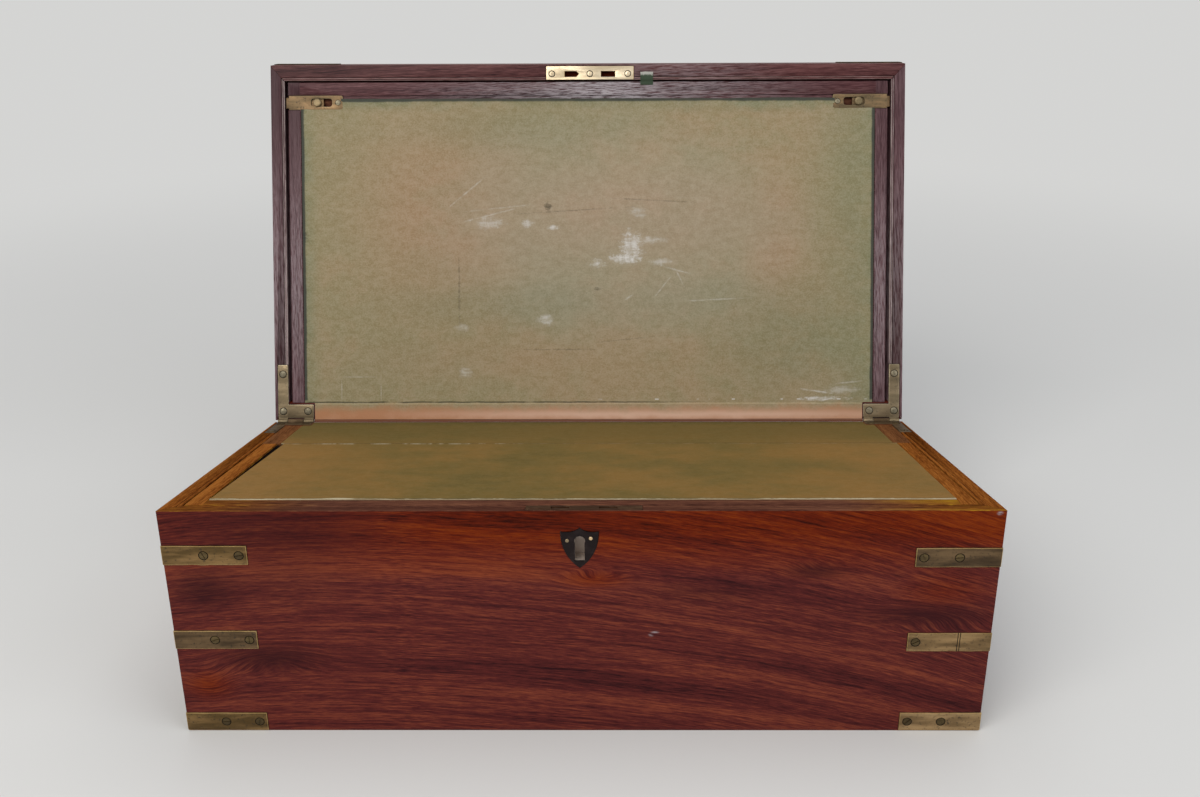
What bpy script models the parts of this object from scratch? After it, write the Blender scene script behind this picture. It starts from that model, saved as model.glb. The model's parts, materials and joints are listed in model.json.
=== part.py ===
"""Ship's writing box: a brass-bound slope box, shown with its lid raised.

Metres, +Z up. X runs along the box, +Y towards the hinges, and the origin is the
centre of the underside of the base. The lid is described closed, and the lid pivot
raises it. Slopes share one plane, the hinge plane, which runs from the hinge axis up
to the lock side: "level" gives heights on it and "along" gives distances down it.
"""

import math
from typing import Callable, NamedTuple

import bmesh
import bpy
from mathutils import Matrix, Vector

# Case
WIDTH = 0.508
DEPTH = 0.277
FRONT_HEIGHT = 0.160
HINGE_HEIGHT = 0.094
LID_FRONT_HEIGHT = 0.028
LID_OPEN = math.radians(96.8)
FRONT_WALL = 0.0095
SIDE_WALL = 0.0085
BACK_WALL = 0.013
BOTTOM_BOARD = 0.008
TOP_BOARD = 0.008
AXIS_SETBACK = 0.001
RIM_GAP = 0.0008
FIT = 0.0003

# Linings: a thin bead beside the rim, and a ledge that carries the flap
BEAD = 0.0022
LEDGE_REACH = 0.009
LEDGE_THICKNESS = 0.005

# Flaps and leather
FLAP_THICKNESS = 0.007
LEATHER = 0.0008
BASE_SEAM = 0.086
BASE_FACE_DROP = 0.0003
BASE_FLAP_SIDE_GAP = 0.0012
BASE_FLAP_FRONT_GAP = 0.0030
BASE_MARGIN = 0.0108
BASE_FRONT_MARGIN = 0.0125
RAIL_MARGIN = 0.0144
LID_FACE_DROP = 0.0012
LID_FLAP_SIDE_GAP = 0.0027
LID_FLAP_FRONT_GAP = 0.0014
LID_MARGIN = 0.0103
LID_FRONT_MARGIN = 0.0108
RAIL_LEATHER_START = 0.0019
LEATHER_TO_LEAF = 0.0012

# Screws, whose heads and shanks are one piece with the fitting that they hold
SCREW_HEAD = 0.0026
SCREW_SHANK = 0.0011
SCREW_LENGTH = 0.0062
SCREW_PROUD = 0.00012
HEAD_DEPTH = 0.0008
HEAD_SIDES = 8

# Corner straps
STRAP_LENGTH = 0.0515
STRAP_WIDTH = 0.0131
STRAP_THICKNESS = 0.0016
STRAP_PROUD = 0.0005
STRAP_EDGE = 0.0007
STRAP_SCREWS = (0.025, 0.0465)
TOP_STRAP_DROP = 0.0308
BACK_STRAP_DROP = 0.0255
BACK_STRAP_RISE = 0.0345
RIGHT_STRAP_DROP = 0.0018

# Hinges
LEAF_THICKNESS = 0.0016
LEAF_EDGE = 0.0024
LEAF_SIDE_WIDTH = 0.0084
LEAF_SIDE_LENGTH = 0.043
LEAF_BACK_WIDTH = 0.0108
LEAF_BACK_LENGTH = 0.0289
LEAF_START = 0.0028
KNUCKLE_RADIUS = 0.002
KNUCKLE_SIDES = 16
TONGUE_INNER = 0.28
TONGUE_OUTER = 0.85
END_KNUCKLE = 0.008
PIN_RADIUS = 0.0009
PIN_CLEARANCE = 0.00008
LEAF_SCREW_INSET = 0.0048
LEAF_SIDE_SCREW = 0.0355

# Lock, strike plate and escutcheon
LOCK_CENTRE = 0.002
PLATE_LENGTH = 0.0702
PLATE_THICKNESS = 0.0016
PLATE_EDGE = 0.0012
SLOT_LENGTH = 0.0112
SLOT_WIDTH = 0.0046
SLOT_SPACING = 0.0291
HOOK_DEPTH = 0.0073
HOOK_THICKNESS = 0.0025
HOOK_POST = 0.005
HOOK_BEAK = 0.0024
HOOK_BEAK_HEIGHT = 0.003
HOOK_DROP = 0.001
HOOK_TRAVEL = 0.006
PLATE_SCREW_INSET = 0.0047
PLATE_SCREW_DEPTH = 0.0072
CASE_LENGTH = 0.054
CASE_HEIGHT = 0.038
CASE_FRONT = 0.0045
CASE_THICKNESS = 0.008
BOLT_BAR = 0.005
BOLT_DROP = 0.0102
ESCUTCHEON_CENTRE = -0.0007
ESCUTCHEON_WIDTH = 0.023
ESCUTCHEON_PEAK_DROP = 0.0121
ESCUTCHEON_SHOULDER = 0.0026
ESCUTCHEON_DIP = 0.0013
ESCUTCHEON_HEIGHT = 0.0275
ESCUTCHEON_BELLY = 0.0165
ESCUTCHEON_THICKNESS = 0.0012
ESCUTCHEON_PROUD = 0.0002
KEYHOLE_DROP = 0.0211
KEYHOLE_RADIUS = 0.0034
KEYHOLE_SLOT = 0.0058
KEYHOLE_LENGTH = 0.0138
KEYHOLE_DEPTH = 0.0105
ARC_STEPS = 8

# Slide catches and pull tab on the lid flap
CATCH_LENGTH = 0.0434
CATCH_WIDTH = 0.0112
CATCH_THICKNESS = 0.0012
CATCH_PROUD = 0.0002
CATCH_EDGE = 0.0005
CATCH_DROP = 0.0104
CATCH_BAR_WIDTH = 0.0084
CATCH_BAR = 0.0022
CATCH_TIP_GAP = 0.0004
CATCH_BAR_TAIL = 0.0275
CATCH_KNOB = 0.0228
CATCH_KNOB_RADIUS = 0.0032
CATCH_KNOB_HEIGHT = 0.0011
CATCH_KNOB_CROWN = 0.0022
CATCH_NECK = 0.0016
CATCH_WINDOW_WIDTH = 0.0064
CATCH_THROW = 0.003
CATCH_DRAW = 0.010
CATCH_SCREW_INSET = 0.0028
TAB_CENTRE = 0.0475
TAB_WIDTH = 0.0097
TAB_THICKNESS = 0.0003
TAB_LAP = 0.0062
TAB_OVER_RIM = 0.0064

# Ink and pen compartments under the base flap
SHELF_HEIGHT = 0.092
SHELF_THICKNESS = 0.005
TROUGH_DEPTH = 0.054
PARTITION = 0.005
WELL_LENGTH = 0.092
PEN_TRAY_HEIGHT = 0.022
PEN_GROOVE = 0.042
PEN_GROOVE_DEPTH = 0.014

# Working values: how far a cutter runs past a face, the weld distance and the shading angle
CUT_MARGIN = 0.003
WELD = 1e-6
SMOOTH_ANGLE = math.radians(35)

# Derived places
HALF_WIDTH = WIDTH / 2
FRONT_Y = -DEPTH / 2
BACK_Y = DEPTH / 2
AXIS_Y = BACK_Y + AXIS_SETBACK
AXIS = Vector((0, AXIS_Y, HINGE_HEIGHT))
SLOPE = math.atan2(FRONT_HEIGHT - HINGE_HEIGHT, AXIS_Y - FRONT_Y)
CLOSED_HEIGHT = FRONT_HEIGHT + LID_FRONT_HEIGHT
HALF_GAP = RIM_GAP / 2
BASE_FACE = -(HALF_GAP + BASE_FACE_DROP)
LID_FACE = HALF_GAP + LID_FACE_DROP
WELL_HALF = HALF_WIDTH - SIDE_WALL - FIT - BEAD
BEAD_Y = FRONT_Y + FRONT_WALL + FIT + BEAD
BACK_INNER_Y = BACK_Y - BACK_WALL
BASE_LEDGE = HALF_GAP + BASE_FACE_DROP + FLAP_THICKNESS + FIT
LID_LEDGE = HALF_GAP + LID_FACE_DROP + FLAP_THICKNESS + FIT
LOCK_BACK_Y = FRONT_Y + CASE_FRONT + CASE_THICKNESS


class Frame(NamedTuple):
    """An empty, and the point of the closed box that its pieces are measured from."""

    empty: bpy.types.Object
    origin: Vector


def level(y: float, offset: float) -> float:
    """Height of the plane that lies this far, square, above the hinge plane."""
    return HINGE_HEIGHT + (AXIS_Y - y) * math.tan(SLOPE) + offset / math.cos(SLOPE)


def along(y: float, offset: float) -> float:
    """Distance down the slope from the hinge axis to depth y, at this offset from the plane."""
    return (AXIS_Y - y + offset * math.sin(SLOPE)) / math.cos(SLOPE)


def collection(name: str) -> bpy.types.Collection:
    made = bpy.data.collections.new(name)
    bpy.context.scene.collection.children.link(made)
    return made


def finish(name: str, colour: tuple[float, float, float], roughness: float, metallic: float = 0.0):
    """A Principled material with one colour."""
    material = bpy.data.materials.new(name)
    material.use_nodes = True
    shader = material.node_tree.nodes["Principled BSDF"]
    shader.inputs["Base Color"].default_value = (*colour, 1)
    shader.inputs["Roughness"].default_value = roughness
    shader.inputs["Metallic"].default_value = metallic
    return material


for leftover in list(bpy.data.objects):
    bpy.data.objects.remove(leftover)
PARTS = collection("ships_writing_box")
CUTTERS = collection("cutters")
CASE_WOOD = finish("case_wood", (0.11, 0.024, 0.012), 0.30)
FLAP_WOOD = finish("flap_wood", (0.09, 0.025, 0.018), 0.40)
INNER_WOOD = finish("inner_wood", (0.20, 0.075, 0.030), 0.55)
GREEN_LEATHER = finish("green_leather", (0.19, 0.17, 0.075), 0.60)
TAN_LEATHER = finish("tan_leather", (0.48, 0.22, 0.10), 0.65)
AGED_BRASS = finish("aged_brass", (0.25, 0.17, 0.06), 0.40, 1.0)
BRIGHT_BRASS = finish("bright_brass", (0.75, 0.55, 0.25), 0.28, 1.0)
LOCK_STEEL = finish("lock_steel", (0.42, 0.40, 0.36), 0.45, 1.0)
BLACK_IRON = finish("black_iron", (0.012, 0.012, 0.013), 0.45)
GREEN_RIBBON = finish("green_ribbon", (0.10, 0.14, 0.07), 0.70)


def frame(name: str, origin: Vector, turn: float = 0.0, parent: Frame | None = None, place=None) -> Frame:
    """An empty for a sub-assembly, turned about X, with what it is measured from.

    Args:
        name: The empty's name.
        origin: The point, in its pieces' own coordinates, that lies on the empty.
        turn: Rotation about X, in radians.
        parent: The frame that it hangs on.
        place: Where the empty stands in its parent, by default at the origin.
    """
    empty = bpy.data.objects.new(name, None)
    PARTS.objects.link(empty)
    empty.location = origin if place is None else place
    empty.rotation_euler.x = turn
    if parent:
        empty.parent = parent.empty
    return Frame(empty, origin)


def mesh_object(name: str, form: bmesh.types.BMesh, home: Frame, material=None) -> bpy.types.Object:
    """Makes an object of a form, on its frame: a part with a material, or else a cutter."""
    bmesh.ops.remove_doubles(form, verts=form.verts, dist=WELD)
    bmesh.ops.translate(form, verts=form.verts, vec=-home.origin)
    bmesh.ops.recalc_face_normals(form, faces=form.faces)
    mesh = bpy.data.meshes.new(name)
    form.to_mesh(mesh)
    form.free()
    made = bpy.data.objects.new(name, mesh)
    made.parent = home.empty
    (PARTS if material else CUTTERS).objects.link(made)
    if material:
        mesh.materials.append(material)
        mesh.shade_smooth()
        mesh.set_sharp_from_angle(angle=SMOOTH_ANGLE)
    else:
        made.hide_render = True
        made.display_type = "WIRE"
    return made


def block(place: Callable[[int, int, int], tuple[float, float, float]]) -> bmesh.types.BMesh:
    """A cube whose eight corners go where place puts each (-1 or 1 on every axis)."""
    form = bmesh.new()
    bmesh.ops.create_cube(form, size=2)
    for corner in form.verts:
        corner.co = place(*(round(side) for side in corner.co))
    return form


def box(low: tuple[float, float, float], high: tuple[float, float, float]) -> bmesh.types.BMesh:
    """A straight box between two corners."""
    return block(lambda *sides: tuple(b if s > 0 else a for s, a, b in zip(sides, low, high)))


def evaluated_form(source: bpy.types.Object) -> bmesh.types.BMesh:
    """The mesh of a curve, or of an object with modifiers. The source is removed."""
    PARTS.objects.link(source)
    graph = bpy.context.evaluated_depsgraph_get()
    mesh = bpy.data.meshes.new_from_object(source.evaluated_get(graph))
    form = bmesh.new()
    form.from_mesh(mesh)
    bpy.data.objects.remove(source)
    bpy.data.meshes.remove(mesh)
    return form


def prism(outline: list[tuple[float, float]], place: Callable) -> bmesh.types.BMesh:
    """A filled outline, extruded: place(p, q, end) puts each point, with end -1 or 1."""
    millimetre = 1000
    curve = bpy.data.curves.new("outline", "CURVE")
    curve.dimensions = "2D"
    curve.fill_mode = "BOTH"
    curve.extrude = 1
    spline = curve.splines.new("POLY")
    spline.points.add(len(outline) - 1)
    for point, (p, q) in zip(spline.points, outline):
        point.co = (p * millimetre, q * millimetre, 0, 1)
    spline.use_cyclic_u = True
    form = evaluated_form(bpy.data.objects.new("outline", curve))
    for vertex in form.verts:
        p, q, end = vertex.co
        vertex.co = place(p / millimetre, q / millimetre, round(end))
    return form


def slab(low: float, high: float) -> Callable:
    """Placer for a prism whose outline is x and distance along the slope, between two offsets."""
    return lambda x, distance, end: (x, -distance, high if end > 0 else low)


def turned(profile: list[tuple[float, float]], sides: int) -> bmesh.types.BMesh:
    """A solid of revolution about Z from (radius, height) points, top to bottom."""
    mesh = bpy.data.meshes.new("profile")
    points = [(radius, 0, height) for radius, height in profile]
    mesh.from_pydata(points, [(i, i + 1) for i in range(len(points) - 1)], [])
    lathe = bpy.data.objects.new("profile", mesh)
    screw = lathe.modifiers.new("turn", "SCREW")
    screw.steps = sides
    screw.render_steps = sides
    screw.use_merge_vertices = True
    screw.merge_threshold = WELD
    return evaluated_form(lathe)


def rod(radius: float, low: float, high: float, sides: int) -> bmesh.types.BMesh:
    """A round bar along X between two places."""
    form = bmesh.new()
    bmesh.ops.create_cone(
        form, cap_ends=True, segments=sides, radius1=radius, radius2=radius, depth=high - low,
        matrix=Matrix.Translation(((low + high) / 2, 0, 0)) @ Matrix.Rotation(math.pi / 2, 4, "Y"),
    )
    return form


def boolean(target: bpy.types.Object, other: bpy.types.Object, operation: str) -> None:
    step = target.modifiers.new(other.name, "BOOLEAN")
    step.operation = operation
    step.solver = "EXACT"
    step.object = other


def cut(cutter: bpy.types.Object, *targets: bpy.types.Object) -> None:
    for target in targets:
        boolean(target, cutter, "DIFFERENCE")


def scatter(name: str, profile: list, spots: list, home: Frame) -> bpy.types.Object:
    """Copies of a turned form, one at each (point, outward direction), as one helper."""
    gathered = bmesh.new()
    flat_up = Matrix.Rotation(math.pi / HEAD_SIDES, 4, "Z")
    for point, outward in spots:
        form = turned(profile, HEAD_SIDES)
        turn = Vector((0, 0, 1)).rotation_difference(Vector(outward)).to_matrix().to_4x4() @ flat_up
        bmesh.ops.transform(form, verts=form.verts, matrix=Matrix.Translation(point) @ turn)
        copy = bpy.data.meshes.new("copy")
        form.to_mesh(copy)
        form.free()
        gathered.from_mesh(copy)
        bpy.data.meshes.remove(copy)
    return mesh_object(name, gathered, home)


def screw_down(plate: bpy.types.Object, home: Frame, spots: list, *boards: bpy.types.Object) -> None:
    """Joins screws to a plate at (point, outward direction), and bores the boards for them."""
    head = [(0, SCREW_PROUD), (SCREW_HEAD, SCREW_PROUD), (SCREW_HEAD, -HEAD_DEPTH)]
    shank = [(SCREW_SHANK, -HEAD_DEPTH), (SCREW_SHANK, -SCREW_LENGTH), (0, -SCREW_LENGTH)]
    bore = SCREW_SHANK + FIT
    end = SCREW_LENGTH + FIT
    pilot = [(0, 0), (bore, 0), (bore, -end), (0, -end)]
    boolean(plate, scatter(plate.name + "_screws", head + shank, spots, home), "UNION")
    cut(scatter(plate.name + "_pilots", pilot, spots, home), *boards)


def walls(prefix: str, home: Frame, low: Callable, high: Callable) -> dict[str, bpy.types.Object]:
    """Four mitred walls between two heights, which are functions of depth."""

    def lengthwise(outer_y: float, inner_y: float) -> Callable:
        def place(sx, sy, sz):
            outside = (sy > 0) == (outer_y > inner_y)
            y = outer_y if outside else inner_y
            x = sx * (HALF_WIDTH if outside else HALF_WIDTH - SIDE_WALL)
            return x, y, high(y) if sz > 0 else low(y)
        return place

    def sidewise(side: int) -> Callable:
        def place(sx, sy, sz):
            outside = sx == side
            x = side * (HALF_WIDTH if outside else HALF_WIDTH - SIDE_WALL)
            front = FRONT_Y + FIT + (0 if outside else FRONT_WALL)
            back = BACK_Y - FIT - (0 if outside else BACK_WALL)
            y = back if sy > 0 else front
            return x, y, high(y) if sz > 0 else low(y)
        return place

    places = {
        "front": lengthwise(FRONT_Y, FRONT_Y + FRONT_WALL),
        "back": lengthwise(BACK_Y, BACK_INNER_Y),
        "left": sidewise(-1),
        "right": sidewise(1),
    }
    return {
        side: mesh_object(f"{prefix}_{side}_board", block(place), home, CASE_WOOD)
        for side, place in places.items()
    }


def panel(name: str, home: Frame, low: float, high: float) -> bpy.types.Object:
    """A flat board that fills the space between the four walls."""
    half = HALF_WIDTH - SIDE_WALL - FIT
    corners = (-half, FRONT_Y + FRONT_WALL + FIT, low), (half, BACK_INNER_Y - FIT, high)
    return mesh_object(name, box(*corners), home, CASE_WOOD)


def linings(prefix: str, home: Frame, side: int, ledge: float) -> dict[str, bpy.types.Object]:
    """Rebated strips inside the front and side walls; side is -1 below the hinge plane, 1 above."""
    rim = side * HALF_GAP / math.cos(SLOPE)
    seat = side * ledge / math.cos(SLOPE)
    under = seat + side * LEDGE_THICKNESS
    bead = FIT + BEAD
    reach = FIT + LEDGE_REACH
    profile = [(FIT, under), (reach, under), (reach, seat), (bead, seat), (bead, rim), (FIT, rim)]

    def front(p, height, end):
        y = FRONT_Y + FRONT_WALL + p
        return end * (HALF_WIDTH - SIDE_WALL - p - FIT), y, level(y, 0) + height

    def flank(sign: int) -> Callable:
        def place(p, height, end):
            y = BACK_INNER_Y - FIT if end > 0 else FRONT_Y + FRONT_WALL + p + FIT
            return sign * (HALF_WIDTH - SIDE_WALL - p), y, level(y, 0) + height
        return place

    places = {"front": front, "left": flank(-1), "right": flank(1)}
    return {
        where: mesh_object(f"{prefix}_{where}_lining", prism(profile, place), home, INNER_WOOD)
        for where, place in places.items()
    }


def strap(name: str, home: Frame, corner: tuple[int, int], height: float, *boards) -> None:
    """One brass strap round an upright corner, let into both boards, with four screws."""
    sx, sy = corner

    def wrap(outer: float, inner: float, end: float, rise: float) -> bmesh.types.BMesh:
        tip = STRAP_LENGTH + end
        outline = [(-outer, -outer), (tip, -outer), (tip, inner), (inner, inner), (inner, tip), (-outer, tip)]

        def place(p, q, top):
            return sx * (HALF_WIDTH - p), sy * (DEPTH / 2 - q), height + top * (STRAP_WIDTH / 2 + rise)
        return prism(outline, place)

    sunk = STRAP_THICKNESS - STRAP_PROUD
    made = mesh_object(name, wrap(STRAP_PROUD, sunk, 0, 0), home, AGED_BRASS)
    recess = mesh_object(name + "_recess", wrap(CUT_MARGIN, sunk + FIT, FIT, FIT), home)
    cut(recess, *boards)
    spots = []
    for reach in STRAP_SCREWS:
        long_face = (sx * (HALF_WIDTH - reach), sy * (DEPTH / 2 + STRAP_PROUD), height)
        end_face = (sx * (HALF_WIDTH + STRAP_PROUD), sy * (DEPTH / 2 - reach), height)
        spots += [(long_face, (0, sy, 0)), (end_face, (sx, 0, 0))]
    screw_down(made, home, spots, *boards)


def straps(base: Frame, lid: Frame, base_walls: dict, lid_walls: dict) -> None:
    """Every corner strap, on the base and on the lid."""
    low = STRAP_EDGE + STRAP_WIDTH / 2
    for sx, side in ((-1, "left"), (1, "right")):
        drop = RIGHT_STRAP_DROP if sx > 0 else 0
        top = FRONT_HEIGHT - TOP_STRAP_DROP - drop
        middle = (low + FRONT_HEIGHT - TOP_STRAP_DROP) / 2 + STRAP_EDGE - drop
        front_boards = base_walls["front"], base_walls[side]
        for word, height in (("low", low), ("middle", middle), ("top", top)):
            strap(f"base_strap_front_{side}_{word}", base, (sx, -1), height, *front_boards)
        back_boards = base_walls["back"], base_walls[side]
        for word, height in (("low", low), ("top", HINGE_HEIGHT - BACK_STRAP_DROP)):
            strap(f"base_strap_back_{side}_{word}", base, (sx, 1), height, *back_boards)
        lid_top = CLOSED_HEIGHT - low
        strap(f"lid_strap_front_{side}", lid, (sx, -1), lid_top, lid_walls["front"], lid_walls[side])
        back_boards = lid_walls["back"], lid_walls[side]
        for word, height in (("low", HINGE_HEIGHT + BACK_STRAP_RISE), ("top", lid_top)):
            strap(f"lid_strap_back_{side}_{word}", lid, (sx, 1), height, *back_boards)


def knuckle_outline(side: int) -> list[tuple[float, float]]:
    """Section of a knuckle and the tongue to its leaf, as (distance along the slope, offset)."""
    reach = LEAF_START + FIT
    inner = KNUCKLE_RADIUS * TONGUE_INNER
    outer = KNUCKLE_RADIUS * TONGUE_OUTER
    start = math.asin(TONGUE_OUTER)
    stop = math.asin(TONGUE_INNER) + 2 * math.pi
    turns = [start + (stop - start) * i / KNUCKLE_SIDES for i in range(KNUCKLE_SIDES + 1)]
    circle = [(KNUCKLE_RADIUS * math.cos(a), KNUCKLE_RADIUS * math.sin(a)) for a in turns]
    return [(d, side * n) for d, n in [(reach, inner), (reach, outer)] + circle]


def hinge_leaf(name: str, home: Frame, sx: int, side: int, knuckles: list, *boards: bpy.types.Object) -> None:
    """An L-shaped leaf let into the rim, with its knuckles; side is -1 on the base, 1 on the lid.

    Args:
        name: The leaf's name.
        home: The frame of its slope.
        sx: -1 for the left hinge and 1 for the right one.
        side: Which side of the hinge plane the leaf is on.
        knuckles: (near, far) pairs along X, as distances from the middle of the box.
        boards: Pieces that the leaf is let into.
    """
    outer = HALF_WIDTH - LEAF_EDGE

    def ell(grow: float, start: float) -> list[tuple[float, float]]:
        inner = outer - LEAF_SIDE_WIDTH - grow
        end = outer - LEAF_BACK_LENGTH - grow
        width = LEAF_START + LEAF_BACK_WIDTH + grow
        length = LEAF_START + LEAF_SIDE_LENGTH + grow
        edge = outer + grow
        points = [(edge, start), (end, start), (end, width), (inner, width), (inner, length), (edge, length)]
        return [(sx * x, distance) for x, distance in points]

    rim = side * HALF_GAP
    shape = prism(ell(0, LEAF_START), slab(rim, rim + side * LEAF_THICKNESS))
    made = mesh_object(name, shape, home, AGED_BRASS)
    recess = prism(ell(FIT, -CUT_MARGIN), slab(-rim, rim + side * (LEAF_THICKNESS + FIT)))
    cut(mesh_object(name + "_recess", recess, home), *boards)
    for number, (near, far) in enumerate(knuckles):
        def place(distance, offset, end, near=near, far=far):
            return sx * (far if end > 0 else near), -distance, offset
        form = prism(knuckle_outline(side), place)
        boolean(made, mesh_object(f"{name}_knuckle_{number}", form, home), "UNION")
    bore = rod(PIN_RADIUS + PIN_CLEARANCE, -HALF_WIDTH, HALF_WIDTH, KNUCKLE_SIDES)
    cut(mesh_object(name + "_bore", bore, home), made)
    middle = LEAF_START + LEAF_BACK_WIDTH / 2
    corner_x = outer - LEAF_SIDE_WIDTH / 2
    end_x = outer - LEAF_BACK_LENGTH + LEAF_SCREW_INSET
    places = [(corner_x, LEAF_START + LEAF_SIDE_SCREW), (corner_x, middle), (end_x, middle)]
    spots = [((sx * x, -distance, rim), (0, 0, -side)) for x, distance in places]
    screw_down(made, home, spots, *boards)


def hinges(base: Frame, lid: Frame, base_walls: dict, lid_walls: dict, base_lining: dict, lid_lining: dict):
    """Two leaf pairs and their pins."""
    far = HALF_WIDTH - LEAF_EDGE
    near = far - LEAF_BACK_LENGTH
    lid_knuckles = [(far - END_KNUCKLE, far), (near, near + END_KNUCKLE)]
    base_knuckles = [(near + END_KNUCKLE + FIT, far - END_KNUCKLE - FIT)]
    for sx, side in ((-1, "left"), (1, "right")):
        boards = base_walls["back"], base_walls[side], base_lining[side]
        hinge_leaf(f"base_hinge_leaf_{side}", base, sx, -1, base_knuckles, *boards)
        boards = lid_walls["back"], lid_walls[side], lid_lining[side]
        hinge_leaf(f"lid_hinge_leaf_{side}", lid, sx, 1, lid_knuckles, *boards)
        ends = sorted((sx * near, sx * far))
        mesh_object(f"hinge_pin_{side}", rod(PIN_RADIUS, *ends, KNUCKLE_SIDES), base, AGED_BRASS)


def rectangle(left: float, right: float, near: float, far: float) -> list[tuple[float, float]]:
    return [(left, near), (right, near), (right, far), (left, far)]


def flap(prefix: str, home: Frame, side: int, half: float, hinge: Callable, front: float, margins: tuple):
    """A flap board with its leather let in; side is -1 on the base, 1 on the lid.

    Args:
        prefix: The flap's name.
        home: The frame on its seam.
        side: Which way the board lies from its face.
        half: Half its width.
        hinge: Distance of its hinge edge from the hinge axis, at an offset from the hinge plane.
        front: Distance of its front edge from the hinge axis.
        margins: Width of the wood beside the leather, and in front of it.
    """
    face = home.origin.z
    back = face + side * FLAP_THICKNESS

    def place(sx, sy, sz):
        offset = back if sz > 0 else face
        return sx * half, -(hinge(offset) if sy > 0 else front), offset

    board = mesh_object(f"{prefix}_board", block(place), home, FLAP_WOOD)
    start = hinge(face)
    edge = half - margins[0]
    tip = front - margins[1]
    pocket = rectangle(-edge - FIT, edge + FIT, start - CUT_MARGIN, tip + FIT)
    floor = face + side * (LEATHER + FIT)
    cut(mesh_object(f"{prefix}_rebate", prism(pocket, slab(face - side * CUT_MARGIN, floor)), home), board)
    sheet = prism(rectangle(-edge, edge, start, tip), slab(face, face + side * LEATHER))
    leather = mesh_object(f"{prefix}_leather", sheet, home, GREEN_LEATHER)
    return board, leather


def hinge_rails(base: Frame, lid: Frame, base_walls: dict, lid_walls: dict) -> None:
    """The fixed board behind the base flap, and the leather on both sides of the hinge line."""
    half = WELL_HALF - FIT
    start = along(BACK_INNER_Y, BASE_FACE) + FIT
    end = BASE_SEAM - FIT / 2
    bottom = BASE_FACE - FLAP_THICKNESS
    outline = rectangle(-half, half, start, end)
    rail = mesh_object("base_hinge_rail", prism(outline, slab(bottom, BASE_FACE)), base, FLAP_WOOD)
    between = HALF_WIDTH - LEAF_EDGE - LEAF_BACK_LENGTH - LEATHER_TO_LEAF
    edge = half - RAIL_MARGIN

    def strip(grow: float) -> list[tuple[float, float]]:
        first = RAIL_LEATHER_START - grow
        last = end + grow
        right = [(between + grow, first), (between + grow, start - grow), (edge + grow, start - grow)]
        right += [(edge + grow, last)]
        return right + [(-x, distance) for x, distance in reversed(right)]

    floor = BASE_FACE - LEATHER - FIT
    cut(mesh_object("rail_rebate", prism(strip(FIT), slab(floor, CUT_MARGIN)), base), rail, base_walls["back"])
    sheet = prism(strip(0), slab(BASE_FACE - LEATHER, BASE_FACE))
    mesh_object("base_rail_leather", sheet, base, GREEN_LEATHER)

    surface = HALF_GAP + BASE_FACE_DROP
    last = along(BACK_INNER_Y, surface)
    pocket = rectangle(-between - FIT, between + FIT, RAIL_LEATHER_START - FIT, last + CUT_MARGIN)
    rebate = prism(pocket, slab(-CUT_MARGIN, surface + LEATHER + FIT))
    cut(mesh_object("lid_rail_rebate", rebate, lid), lid_walls["back"])
    sheet = rectangle(-between, between, RAIL_LEATHER_START, last)
    mesh_object("lid_rail_leather", prism(sheet, slab(surface, surface + LEATHER)), lid, TAN_LEATHER)


def slot_centres() -> tuple[float, float]:
    """X of the two hooks, and of the slots that they pass."""
    return LOCK_CENTRE - SLOT_SPACING / 2, LOCK_CENTRE + SLOT_SPACING / 2


def rim_plate(name: str, home: Frame, side: int, screws: list[float], material, *boards) -> None:
    """A slotted plate let into the lock-side rim; side is -1 on the base, 1 on the lid."""
    rim = side * HALF_GAP
    near = along(BEAD_Y, rim) + FIT
    far = along(FRONT_Y, rim) - PLATE_EDGE
    left = LOCK_CENTRE - PLATE_LENGTH / 2
    right = LOCK_CENTRE + PLATE_LENGTH / 2
    form = prism(rectangle(left, right, near, far), slab(rim, rim + side * PLATE_THICKNESS))
    plate = mesh_object(name, form, home, material)
    wide = rectangle(left - FIT, right + FIT, near - CUT_MARGIN, far + FIT)
    recess = prism(wide, slab(-rim, rim + side * (PLATE_THICKNESS + FIT)))
    cut(mesh_object(name + "_recess", recess, home), *boards)
    hook = along(FRONT_Y + HOOK_DEPTH, rim)
    for number, x in enumerate(slot_centres()):
        slot = rectangle(
            x - SLOT_LENGTH / 2, x + SLOT_LENGTH / 2, hook - SLOT_WIDTH / 2, hook + SLOT_WIDTH / 2
        )
        opening = prism(slot, slab(-rim, rim + side * (PLATE_THICKNESS + CUT_MARGIN)))
        cut(mesh_object(f"{name}_slot_{number}", opening, home), plate)
    distance = along(FRONT_Y + PLATE_SCREW_DEPTH, rim)
    spots = [((x, -distance, rim), (0, 0, -side)) for x in screws]
    screw_down(plate, home, spots, *boards)


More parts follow.
